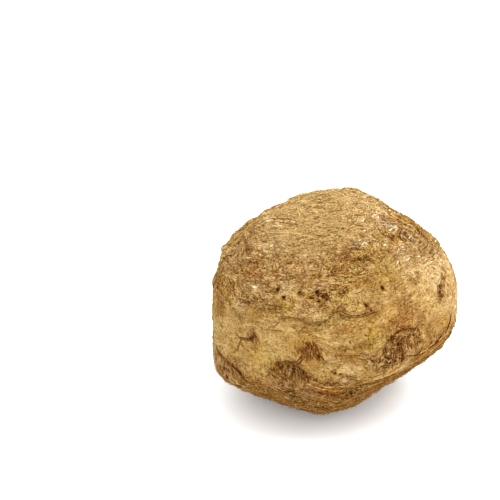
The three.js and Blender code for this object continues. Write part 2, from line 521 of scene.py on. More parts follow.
@dataclass(frozen=True)
class Patches:
    """Round patches of one kind of mark: some at places of their own, the others by chance.

    Attributes:
        named: azimuth, elevation and radius of the patches with places of their own.
        chance: how many others there are.
        arcs: between which distances from the crown those lie.
        sizes: their smallest and largest radius.
        seed: picks their places.
        fray: how far the borders wander, in radii.
        clear: turns, in degrees, between which the chance ones leave the skin clear.
    """

    named: tuple[tuple[float, float, float], ...]
    chance: int
    arcs: tuple[float, float]
    sizes: tuple[float, float]
    seed: int
    fray: float = 0.55
    clear: tuple[float, float] = (-150.0, -20.0)

    def centres(self, form: RootForm) -> tuple[Array, Array]:
        """Where the patches are. The chance ones are spread evenly over their part of the skin.

        Args:
            form: the root.

        Returns:
            Unit vectors to their middles, and their radii.
        """
        random = np.random.default_rng(self.seed)
        pole = np.cos(np.array(self.arcs) / form.mean_radius)
        arc = form.mean_radius * np.arccos(random.uniform(pole[1], pole[0], self.chance))
        turn = random.uniform(self.clear[1], self.clear[0] + 360.0, self.chance)
        size = random.uniform(*self.sizes, self.chance)
        place = [direction(azimuth, elevation) for azimuth, elevation, _ in self.named]
        named_size = [radius for _, _, radius in self.named]
        return np.concatenate([np.array(place), form.rays(arc, turn)]), np.concatenate([named_size, size])

    def share(self, form: RootForm, rays: Array, border: Array) -> Array:
        """How much of the mark there is at each ray, from 0 to 1.

        Each patch is a bump of the distance from its middle, stretched or shrunk by the border
        noise.

        Args:
            form: the root.
            rays: unit vectors from its heart.
            border: noise from -1 to 1 that frays the patches' borders.

        Returns:
            The greatest of the patches' bumps.
        """
        stretch = np.exp(self.fray * border)
        total = np.zeros(rays.shape[:-1])
        for centre, size in zip(*self.centres(form)):
            away = form.mean_radius * np.sqrt(np.maximum(0.0, 2.0 - 2.0 * rays @ centre))
            total = np.maximum(total, bump(away * stretch, size))
        return total


@dataclass(frozen=True)
class Marks:
    """What the skin is like at each place.

    Attributes:
        grain: east, north and distance across the grain, in millimetres.
        crown, scaly, under, scar: shares from 0 to 1 of each kind of skin.
        pit, rust, olive, umber, papery, pale: shares from 0 to 1 of each kind of mark.
    """

    grain: Array
    crown: Array
    scaly: Array
    under: Array
    scar: Array
    pit: Array
    rust: Array
    olive: Array
    umber: Array
    papery: Array
    pale: Array

    # the shares that materials read
    SHARES = (
        "crown", "scaly", "rooty", "pit", "rust", "olive", "umber", "papery", "pale", "rough", "matted",
    )  # fmt: skip

    CROWN_SHARE = 0.5  # how rough and how matted the crown is
    BELLY_ROUGH = 0.15
    SCALY_MATTED = 0.3
    UNDER_MATTED = 0.8

    @property
    def rooty(self) -> Array:
        """Where the skin is matted root fibre: the underside and the scars of side roots."""
        return np.maximum(self.under, self.scar)

    @property
    def rough(self) -> Array:
        """How coarse the bark's threads are. They hardly show on the smooth belly."""
        dry = np.maximum(self.CROWN_SHARE * self.crown, np.maximum(self.scaly, self.rooty))
        return np.maximum(self.BELLY_ROUGH, dry)

    @property
    def matted(self) -> Array:
        """How thickly loose fibres shade the skin below them."""
        above = np.maximum(self.CROWN_SHARE * self.crown, self.SCALY_MATTED * self.scaly)
        return np.maximum(above, np.maximum(self.UNDER_MATTED * self.under, self.scar))

    def height(self, heights: tuple[float, ...]) -> Array:
        """Sums a height for all skin and what each kind of skin adds to it.

        Args:
            heights: on all skin, then added on the crown, the shoulder, the underside and scars.

        Returns:
            The height at each place.
        """
        everywhere, *more = heights
        kinds = (self.crown, self.scaly, self.under, self.scar)
        return sum((part * kind for part, kind in zip(more, kinds)), start=everywhere)


@dataclass(frozen=True)
class SkinDetail:
    """The small forms of the skin, too fine for the solid, as functions of the place on it."""

    form: RootForm

    leaf_outer_slope: float = 1.0  # crisper than the solid's

    # the small leaf scars between the large ones: count, arcs, seed
    small_scars: tuple[int, float, float, int] = (190, 20.0, 64.0, 5)
    small_half_width: float = 5.5
    small_bow: float = 1.8
    small_slopes: tuple[float, float] = (1.7, 0.7)
    small_height: float = 0.5
    small_mean: float = 0.5  # of their crescents, taken off to keep the skin's mean height

    # arcs between which the crown ends, the shoulder's rough bark ends and the underside begins
    crown_edge: tuple[float, float] = (24.0, 36.0)
    scaly_edge: tuple[float, float] = (54.0, 70.0)
    under_edge: tuple[float, float] = (88.0, 97.0)

    # height, lump size and seed of the noises that the kinds' borders and the grain wander by
    border_wander: tuple[tuple[float, float, int], ...] = ((5.0, 14.0, 6), (2.0, 5.0, 7))
    grain_wander: tuple[tuple[float, float, int], ...] = ((2.4, 24.0, 3), (1.1, 8.0, 4))
    fray_lump: float = 3.0  # lump size and seed of the noise that frays all borders
    fray_seed: int = 8
    fray: float = 4.0  # how far it moves the underside's border and those of the worn places

    knot_bend: float = 0.6  # how far the grain bends round a root scar
    knot_reach: float = 1.5  # in scar radii
    fan_edge: tuple[float, float] = (1.3, 0.4)  # radii between which the hanging grain takes over
    fan_limit: float = 0.5  # nearest that a fan's threads come to where they would meet

    crown_stretch: float = 2.4  # how much longer than wide the crown's own rings are
    ring_edge: tuple[float, float] = (32.0, 56.0)  # arcs where those turn into round rings

    # azimuth, elevation and radius of places where the grain hangs down instead, and how far above
    # each its threads would meet
    hanging: tuple[tuple[float, float, float, float], ...] = (
        (-111, -6, 8.0, 14.0), (-103, 4, 7.5, 5.0), (-62, 3, 8.0, 14.0), (-28, 20, 5.5, 8.0),
        (-132, 4, 4.0, 5.0), (-147, -17, 8.0, 12.0), (22, -6, 9.0, 12.0), (61, 12, 6.0, 7.0),
        (74, -16, 10.0, 12.0), (112, 2, 8.0, 9.0), (150, 14, 5.0, 7.0), (163, -12, 9.0, 12.0),
        (186, 6, 6.0, 7.0), (-18, 55, 15.0, 60.0), (-172, 34, 12.0, 60.0), (70, 48, 12.0, 60.0),
        (130, 38, 11.0, 60.0),
    )  # fmt: skip

    # azimuth, elevation and radius of places where the shoulder's rough bark thins out, and how
    # much of it is gone in the middle
    worn: tuple[tuple[float, float, float, float], ...] = (
        (-48, 30, 24.0, 0.75), (-30, 12, 16.0, 1.0), (-72, 28, 15.0, 0.65), (-92, 22, 8.0, 0.6),
        (-112, 26, 15.0, 0.5),
    )  # fmt: skip
    worn_middle: float = 0.4  # in radii

    scar_floor: float = 0.8  # how deep the torn middle of a root scar lies
    scar_fray: float = 2.4
    scar_sizes: tuple[float, float] = (3.0, 8.0)  # radii of a scar with no torn middle and a full one
    scar_full_depth: float = 2.0  # dish depth from which a scar is fully torn
    scar_edge: tuple[float, float] = (0.65, 0.3)  # radii between which its torn fibre begins
    scar_step: tuple[float, float] = (0.72, 1.2)  # where its floor drops, in radii, and over how far
    scar_lower_share: float = 0.3  # how deep its floor is at its lower edge
    paper_height: float = 0.7  # how high the ridges stand that papery leaf bases leave
    pit_depth: float = 0.9

    # size of the cells, share of the height and seed of the wrinkles and of the lumps
    wrinkles: tuple[tuple[tuple[float, float, float], float, int], ...] = (
        ((8.0, 8.0, 2.4), 1.0, 21), ((5.0, 5.0, 1.5), 0.6, 22),
    )  # fmt: skip
    lumps: tuple[tuple[float, float, int], ...] = ((4.5, 1.0, 23), (2.0, 0.8, 24))

    # their heights on all skin, and how much is added on the crown, shoulder, underside and scars
    wrinkle_heights: tuple[float, ...] = (0.08, 0.05, 0.16, 0.2, 0.2)
    lump_heights: tuple[float, ...] = (0.08, 0.1, 0.3, 0.32, 0.35)

    # small holes, most of them in and near the scars
    pits: Patches = Patches(
        named=(
            (-102.5, 32.5, 1.3), (-105, 29.5, 1.1), (-99, 31, 1.3), (-101, 28.5, 1.0), (-96.5, 30, 1.0),
            (-120, 27.5, 1.4), (-124.5, 30, 1.3), (-64.5, 33, 1.2), (-77, 27, 1.0), (-64.5, -1.5, 1.4),
            (-84, -19.5, 1.6), (-91.5, -6, 0.8), (-93, -5, 0.7), (-89, -6.5, 0.7), (-28, 22, 1.0),
            (-29, 18, 0.9), (-106, -7, 1.1), (-71, 3, 1.0), (-75, 1, 0.8), (-85, 10, 0.7),
            (-97, 0, 0.6), (-78, 13, 0.6), (-87, 6, 0.6), (-76, 26, 0.9), (-74, 24, 0.7),
            (-95, -3, 0.6), (-51, 6, 0.8), (-61, -3, 0.8), (-112, 31, 1.1), (-99, -19, 1.2),
            (-113, -17, 1.2), (-67, 0.5, 1.3), (-132, 5, 0.8), (-150, -12, 0.9), (-27, 22.5, 1.1),
            (-30, 19.5, 1.1),
        ),
        chance=60, arcs=(34.0, 96.0), sizes=(0.4, 0.9), seed=17, fray=0.7,
    )  # fmt: skip
    # torn fibre in the scars, along the cracks from them and on the right shoulder
    torn: Patches = Patches(
        named=(
            (-102, 9, 2.8), (-102, 6, 1.8), (-99, 6, 1.6), (-106, 7, 1.6), (-108, 0, 1.8),
            (-112, -3, 1.8), (-119, -9, 2.6), (-112, -7, 3.4), (-106, -8, 3.0), (-114, -14, 4.6),
            (-106, -14, 3.8), (-56, 10, 2.8), (-60, 10, 3.2), (-64, 7, 3.4), (-69, 3, 4.2),
            (-73, 2, 3.6), (-75, 0, 3.0), (-66, -1, 3.6), (-57, 3, 3.0), (-53, 8, 3.0), (-52, 4, 2.6),
            (-110, -4, 3.4), (-117, -5, 2.6), (-51, -3, 2.2), (-44, -4, 2.2), (-37, -2, 2.0),
            (-31, 1, 2.0), (-25, 25, 1.4), (-28, 21, 1.8), (-32, 18, 1.4), (-18, 48, 2.0),
            (-17, 43, 1.8), (-15, 46, 2.4), (-152, -14, 3.6), (-147, -13, 3.4), (-142, -13, 3.0),
            (-147, -17, 3.6), (-132, 6, 1.8), (-133, 4, 1.4), (-67, 0, 2.4), (-71, -1, 2.6),
        ),
        chance=12, arcs=(56.0, 92.0), sizes=(1.5, 3.0), seed=66,
    )  # fmt: skip
    # stained, greenish, darker, papery and paler patches
    rust: Patches = Patches(
        named=(
            (-59, 15, 4.5), (-59, 3, 3.6), (-87, 50, 5.0), (-146, 33, 7.0), (-147, 24, 4.0),
            (-101, 39, 3.5), (-113, 42, 5.0), (-102, 8, 2.6), (-132, 5, 3.0), (-95, -18, 6.0),
            (-118, -18, 5.0),
        ),
        chance=22, arcs=(30.0, 110.0), sizes=(2.5, 6.0), seed=61,
    )  # fmt: skip
    olive: Patches = Patches(
        named=(
            (-81, 45, 6.0), (-60, 39, 7.0), (-118, 26, 6.0), (-148, 22, 5.0), (-55, 58, 3.0),
            (-90, 28, 6.0), (-97, 22, 5.0), (-75, 12, 6.0), (-125, -2, 5.0), (-161, 25, 4.0),
            (-170, 22, 4.0),
        ),
        chance=26, arcs=(30.0, 92.0), sizes=(3.5, 8.0), seed=62,
    )  # fmt: skip
    umber: Patches = Patches(
        named=(
            (-50, 58, 2.8), (-78, 57, 3.2), (-16, 46, 3.0), (-28, 20, 3.2), (-99, 26, 4.0),
            (-91, 15, 4.0), (-91, 4, 4.0), (-74, 24, 4.0), (-42, 31, 3.0), (-64, 17, 3.0),
            # the first three lie along the brow's wrinkles, darker colour that is also painted shade in
            # their creases
            (-142, 11, 2.8), (-122, 22, 2.6), (-89, 24, 3.0), (-101, 31, 3.6), (-64, 33, 2.4),
            (-70, 48, 3.0), (-120, 33, 2.0), (-41, 55, 3.5), (-57, 33, 4.5), (-33, 26, 3.0),
            (-82, 55, 3.5), (-75, 42, 4.0), (-109, 47, 3.5), (-106, 26, 3.5), (-42, 5, 4.0),
            (-51, 3, 4.0), (-67, 13, 3.5), (-80, 9, 3.5), (-74, -3, 4.0), (-105, -10, 3.5),
            (-56, 17, 4.0), (-140, -12, 6.0), (-140, 20, 3.0), (-35, -2, 4.0), (-50, -4, 5.0),
            (-103, 8, 3.2), (-100, 5, 3.0), (-103, 4, 2.0), (-80, 4, 2.5), (-86, 7, 2.0),
            (-48, 14, 4.0), (-70, 34, 6.0), (-56, 24, 6.0), (-132, 6, 3.0), (-131, 4, 2.8),
            (-84, 1, 4.0), (-133, 5, 2.4), (-150, -13, 4.0), (-67, 1, 3.0), (-72, 1, 3.0),
            (-30, 61, 2.6), (-36, 55, 2.4), (-24, 53, 2.4), (-62, 66, 2.2), (-44, 63, 2.0),
            (-12, 59, 2.4), (-22, 46, 2.4), (-12, 46, 3.0),
        ),
        chance=40, arcs=(32.0, 100.0), sizes=(2.0, 5.0), seed=63,
    )  # fmt: skip
    papery: Patches = Patches(
        named=(
            (50, 77, 2.8), (-8, 75, 2.4), (-37, 67, 3.0), (-47, 60, 2.4), (-48, 52, 3.0),
            (-39, 43, 2.6), (-139, 66, 1.5), (-66, 58, 2.0), (-31, 61, 2.4), (-22, 31, 3.0),
            (-53, 70, 1.8), (-68, 57, 2.4), (-20, 66, 4.4), (-30, 57, 3.6), (-20, 50, 3.0),
            (10, 70, 3.4), (-42, 62, 3.0), (-55, 62, 2.4), (30, 72, 3.0), (-36, 48, 2.8),
            (-28, 36, 2.4), (-150, 40, 2.4), (-138, 27, 1.6), (-142, 46, 1.6), (-128, 38, 1.4),
            (-69, 57, 1.8), (-57, 54, 2.0),
        ),
        chance=14, arcs=(18.0, 60.0), sizes=(1.6, 3.0), seed=64,
    )  # fmt: skip
    # paler skin, except the two on the brow at (-109, 23) and (-102, 22), which are painted highlight on the
    # crests between its wrinkles
    pale: Patches = Patches(
        named=(
            (-25, 28, 13.0), (-18, 10, 9.0), (-30, 66, 3.0), (-160, 34, 8.0), (-70, 60, 4.0),
            (-136, 40, 6.0), (-122, 33, 6.0), (-130, 25, 5.0), (-25, 60, 4.0), (-41, 42, 5.0),
            (-26, 43, 5.0), (-109, 23, 3.0), (-86, -4, 3.0), (-88, -10, 3.0), (-135, 47, 6.0),
            (-166, 40, 6.0), (-40, 36, 4.0), (-125, 41, 6.0), (-24, 40, 5.0), (-164, 32, 4.0),
            (-131, 31, 3.0), (-134, 26, 3.4), (-143, 27, 2.4), (-5, 70, 4.0), (-100, 38, 6.0),
            (-121, -17, 2.4), (-104, -20, 3.0), (-61, -4, 4.0), (-105, 33, 3.0), (-102, 22, 3.0),
            (-144, 18, 4.0), (-150, 45, 6.0), (-111, 45, 6.0), (-22, 36, 6.0),
        ),
        chance=14, arcs=(20.0, 96.0), sizes=(4.0, 9.0), seed=65,
    )  # fmt: skip

    def laid(self, place: Place) -> Array:
        """Distance across the grain as it would lie with no scars: in ovals, then in rings."""
        ovals = np.hypot(place.east / self.crown_stretch, place.north)
        return ovals + ramp(place.arc, *self.ring_edge) * (place.arc - ovals)

    @staticmethod
    def wandered(value: Array, spots: Array, noises: tuple[tuple[float, float, int], ...]) -> Array:
        """Adds noises to a value.

        Args:
            value: one number for each place.
            spots: the places on a sphere of the root's mean radius.
            noises: height, size of its lumps and seed of each.

        Returns:
            The value moved.
        """
        for height, size, seed in noises:
            value = value + height * lattice_noise(spots / size, seed)
        return value

    def grain(self, place: Place) -> Array:
        """The grain's coordinates.

        On the crown the grain lies in long ovals, and further down in rings. It wanders, bends
        round root scars as wood grain bends round a knot, and hangs down in a fan inside them.

        Args:
            place: where on the skin.

        Returns:
            East, north and distance across the grain, along the last axis.
        """
        spots = place.rays * self.form.mean_radius
        across = self.wandered(self.laid(place), spots, self.grain_wander)
        for azimuth, elevation, radius, _, depth in self.form.root_scars:
            away = self.form.distance(place.rays, azimuth, elevation)
            centre = self.laid(self.form.place(direction(azimuth, elevation)))
            bend = self.knot_bend * min(1.0, depth)
            across = across - bend * (across - centre) * bump(away, self.knot_reach * radius)
        for azimuth, elevation, radius, pole in self.hanging:
            away = self.form.distance(place.rays, azimuth, elevation)
            aside = spots @ direction(azimuth + 90.0, 0.0)
            below = spots @ direction(azimuth, elevation - 90.0)
            centre = self.laid(self.form.place(direction(azimuth, elevation)))
            fan = centre + pole * np.arctan2(aside, np.maximum(self.fan_limit, below + pole))
            share = ramp(away, self.fan_edge[0] * radius, self.fan_edge[1] * radius)
            across = across + share * (fan - across)
        return np.stack([place.east, place.north, across], axis=-1)

    def scar_share(self, place: Place, fray: Array) -> tuple[Array, Array]:
        """The torn floors of the root scars.

        Args:
            place: where on the skin.
            fray: how far the scars' borders wander, in millimetres.

        Returns:
            How much of a scar's floor there is at each place, from 0 to 1, and a sharper share of
            the same that is greatest under the scar's upper edge.
        """
        soft, sharp = np.zeros(place.arc.shape), np.zeros(place.arc.shape)
        begins, full = self.scar_edge
        for azimuth, elevation, radius, _, depth in self.form.root_scars:
            away = self.form.distance(place.rays, azimuth, elevation) + fray
            strength = min(1.0, depth / self.scar_full_depth) * ramp(np.float64(radius), *self.scar_sizes)
            above = place.rays @ direction(azimuth, elevation + 90.0) * self.form.mean_radius
            upper = ramp(above, -full * radius, full * radius)
            deep = self.scar_lower_share + (1.0 - self.scar_lower_share) * upper
            edge = self.scar_step[0] * radius
            soft = np.maximum(soft, strength * ramp(away, begins * radius, full * radius))
            sharp = np.maximum(sharp, strength * deep * ramp(away, edge, edge - self.scar_step[1]))
        return soft, sharp

    def marks(self, place: Place) -> Marks:
        """The kinds of skin at each place. Their borders wander by a few millimetres.

        Args:
            place: where on the skin.

        Returns:
            The marks there.
        """
        spots = place.rays * self.form.mean_radius
        rings = self.wandered(place.arc, spots, self.border_wander)
        border = lattice_noise(spots / self.fray_lump, self.fray_seed)
        crown = ramp(rings, self.crown_edge[1], self.crown_edge[0])
        kinds = {"pit": self.pits, "rust": self.rust, "olive": self.olive, "umber": self.umber}
        kinds |= {"papery": self.papery, "pale": self.pale}
        masks = {name: patches.share(self.form, place.rays, border) for name, patches in kinds.items()}
        scaly = (1.0 - crown) * ramp(rings, self.scaly_edge[1], self.scaly_edge[0])
        for azimuth, elevation, radius, gone in self.worn:
            away = self.form.distance(place.rays, azimuth, elevation) + self.fray * border
            scaly = scaly * (1.0 - gone * ramp(away, radius, self.worn_middle * radius))
        torn = self.torn.share(self.form, place.rays, border)
        return Marks(
            grain=self.grain(place),
            crown=crown,
            scaly=scaly,
            under=ramp(rings + self.fray * border, *self.under_edge),
            scar=np.maximum(self.scar_share(place, self.scar_fray * border)[0], torn),
            **masks,
        )

    def relief(self, place: Place, marks: Marks) -> Array:
        """Height of the fine forms: small leaf scars, wrinkles along the grain, lumps and pits.

        Args:
            place: where on the skin.
            marks: the kinds of skin there.

        Returns:
            Heights in millimetres, about zero on average.
        """
        spots = place.rays * self.form.mean_radius
        small = self.form.crescents(
            place, Spiral.laid(*self.small_scars), self.small_half_width, self.small_bow, self.small_slopes
        )
        wrinkles = sum(share * ridged(marks.grain / size, seed) for size, share, seed in self.wrinkles)
        lumps = sum(share * lattice_noise(spots / size, seed) for size, share, seed in self.lumps)
        border = lattice_noise(spots / self.fray_lump, self.fray_seed)
        floor = self.scar_share(place, self.scar_fray * border)[1]
        return (
            self.small_height * marks.scaly * (small - self.small_mean)
            + marks.height(self.wrinkle_heights) * wrinkles
            + marks.height(self.lump_heights) * lumps
            + self.paper_height * marks.papery * marks.scaly
            - self.pit_depth * marks.pit
            - self.scar_floor * floor
        )

    def skin(self, rays: Array, lift: Array | float = 0.0) -> tuple[Array, Marks, Array]:
        """Points of the dressed skin.

        Args:
            rays: unit vectors from the heart.
            lift: height above the skin in millimetres.

        Returns:
            The points in millimetres, their marks and the fine relief.
        """
        place = self.form.place(rays)
        marks = self.marks(place)
        fine = self.relief(place, marks)
        reach = self.form.radius(place, self.leaf_outer_slope) + fine + lift
        points = np.array(self.form.heart) + rays * reach[..., None]
        points[..., 2] = np.maximum(points[..., 2], 0.0)
        return points, marks, fine


# ---------------------------------------------------------------------------------------------
# Meshes
# ---------------------------------------------------------------------------------------------


def mesh_piece(name: str, points: Array, *faces: Array) -> bpy.types.Object:
    """Makes a smooth-shaded object at the origin.

    Args:
        name: the piece's name.
        points: its vertices in millimetres.
        faces: arrays of triangles or quads, as vertex numbers that turn anticlockwise outside.

    Returns:
        The new object, linked to the scene.
    """
    corners = np.concatenate([part.ravel() for part in faces])
    counts = np.concatenate([np.full(len(part), part.shape[1]) for part in faces])
    mesh = bpy.data.meshes.new(name)
    mesh.vertices.add(len(points))
    mesh.vertices.foreach_set("co", (points * MM).astype(np.float32).ravel())
    mesh.loops.add(len(corners))
    mesh.loops.foreach_set("vertex_index", corners.astype(np.int32))
    mesh.polygons.add(len(counts))
    mesh.polygons.foreach_set("loop_start", np.concatenate([[0], np.cumsum(counts)[:-1]]).astype(np.int32))
    mesh.update(calc_edges=True)
    mesh.shade_smooth()
    piece = bpy.data.objects.new(name, mesh)
    bpy.context.scene.collection.objects.link(piece)
    return piece


def keep_numbers(piece: bpy.types.Object, name: str, values: Array) -> None:
    """Stores numbers in an attribute that materials read.

    Args:
        piece: whose vertices they belong to.
        name: the attribute's name.
        values: one number or one vector for each vertex.
    """
    vector = values.ndim == 2
    attribute = piece.data.attributes.new(name, "FLOAT_VECTOR" if vector else "FLOAT", "POINT")
    attribute.data.foreach_set("vector" if vector else "value", values.astype(np.float32).ravel())


def round_grid(cells: int) -> tuple[Array, Array]:
    """A closed grid over the sphere: a cube's six faces, with even angles between their lines.

    Args:
        cells: cells along a cube's edge.

    Returns:
        Unit vectors, and quads that turn anticlockwise seen from outside.
    """
    line = np.arange(cells + 1)
    u, v = (part.ravel() for part in np.meshgrid(line, line, indexing="ij"))
    corners, quads = [], []
    corner = (line[:-1, None] * (cells + 1) + line[None, :-1]).ravel()
    for axis, far in itertools.product(range(3), (0, cells)):
        face = np.empty((len(u), 3), np.int64)
        face[:, axis], face[:, (axis + 1) % 3], face[:, (axis + 2) % 3] = far, u, v
        quad = np.stack([corner, corner + cells + 1, corner + cells + 2, corner + 1], axis=1)
        quads.append((quad if far else quad[:, ::-1]) + len(u) * len(corners))
        corners.append(face)
    unique, index = np.unique(np.concatenate(corners), axis=0, return_inverse=True)
    cube = np.tan((unique / cells * 2.0 - 1.0) * math.pi / 4.0)
    return cube / np.linalg.norm(cube, axis=1)[:, None], index.ravel()[np.concatenate(quads)]


# ---------------------------------------------------------------------------------------------
# Finishes
# ---------------------------------------------------------------------------------------------


def linear(hex_colour: str) -> tuple[float, float, float, float]:
    """Turns an sRGB colour into the linear numbers that shaders take.

    The sRGB curve is a straight line near black and a power above it.

    Args:
        hex_colour: six hex digits, such as "C39B5A".

    Returns:
        Red, green, blue and an opacity of 1.
    """
    shares = [int(hex_colour[i : i + 2], 16) / 255.0 for i in (0, 2, 4)]
    red, green, blue = (s / 12.92 if s <= 0.04045 else ((s + 0.055) / 1.055) ** 2.4 for s in shares)
    return red, green, blue, 1.0


class Board:
    """A material's nodes, laid one at a time."""

    def __init__(self, name: str) -> None:
        """Starts a material with nothing in its tree.

        Args:
            name: the material's name.
        """
        self.material = bpy.data.materials.new(name)
        self.material.use_nodes = True
        self.tree = self.material.node_tree
        self.tree.nodes.clear()

    def add(
        self,
        kind: str,
        settings: dict[str, object] | None = None,
        inputs: dict[str | int, object] | None = None,
    ) -> bpy.types.Node:
        """Adds a node.

        Args:
            kind: the node's type, without its ShaderNode prefix.
            settings: its own properties.
            inputs: a value or another node's output for each socket, by name or number.

        Returns:
            The new node.
        """
        node = self.tree.nodes.new("ShaderNode" + kind)
        for name, value in (settings or {}).items():
            setattr(node, name, value)
        for socket, value in (inputs or {}).items():
            if isinstance(value, bpy.types.NodeSocket):
                self.tree.links.new(value, node.inputs[socket])
            else:
                node.inputs[socket].default_value = value
        return node


class Sockets:
    """Numbers of the sockets whose names a Mix node uses more than once."""

    FACTOR, COLOUR_A, COLOUR_B = 0, 6, 7
    COLOUR_RESULT = 2


class Blend(Enum):
    """How a colour lies over what is below it."""

    PAINT = "MIX"  # covers it
    STAIN = "MULTIPLY"  # darkens it, as damp or dirt does


@dataclass(frozen=True)
class Layer:
    """A colour laid where a number lies between two limits.

    Attributes:
        colour: what is laid, as sRGB hex.
        pattern: name of the number that decides where.
        none: its value where the layer ends.
        full: its value where the layer is full.
        top: how much of the layer shows there.
        where: name of a mark that limits the layer, if any does.
        blend: how it lies over what is below.
    """

    colour: str
    pattern: str
    none: float
    full: float
    top: float = 1.0
    where: str = ""
    blend: Blend = Blend.STAIN

    def lay(self, board: Board, numbers: Numbers, below: Colour) -> Colour:
        """Lays the colour.

        Args:
            board: the material.
            numbers: sockets of the patterns and marks, by name.
            below: the colour so far.

        Returns:
            The new colour.
        """
        limits = {"From Min": self.none, "From Max": self.full, "To Max": self.top}
        limited = {"Value": numbers[self.pattern]} | limits
        share = board.add("MapRange", {"interpolation_type": "SMOOTHSTEP"}, limited).outputs[0]
        if self.where:
            both = {0: share, 1: numbers[self.where]}
            share = board.add("Math", {"operation": "MULTIPLY"}, both).outputs[0]
        sockets = {Sockets.FACTOR: share, Sockets.COLOUR_A: below, Sockets.COLOUR_B: linear(self.colour)}
        settings = {"data_type": "RGBA", "blend_type": self.blend.value}
        return board.add("Mix", settings, sockets).outputs[Sockets.COLOUR_RESULT]


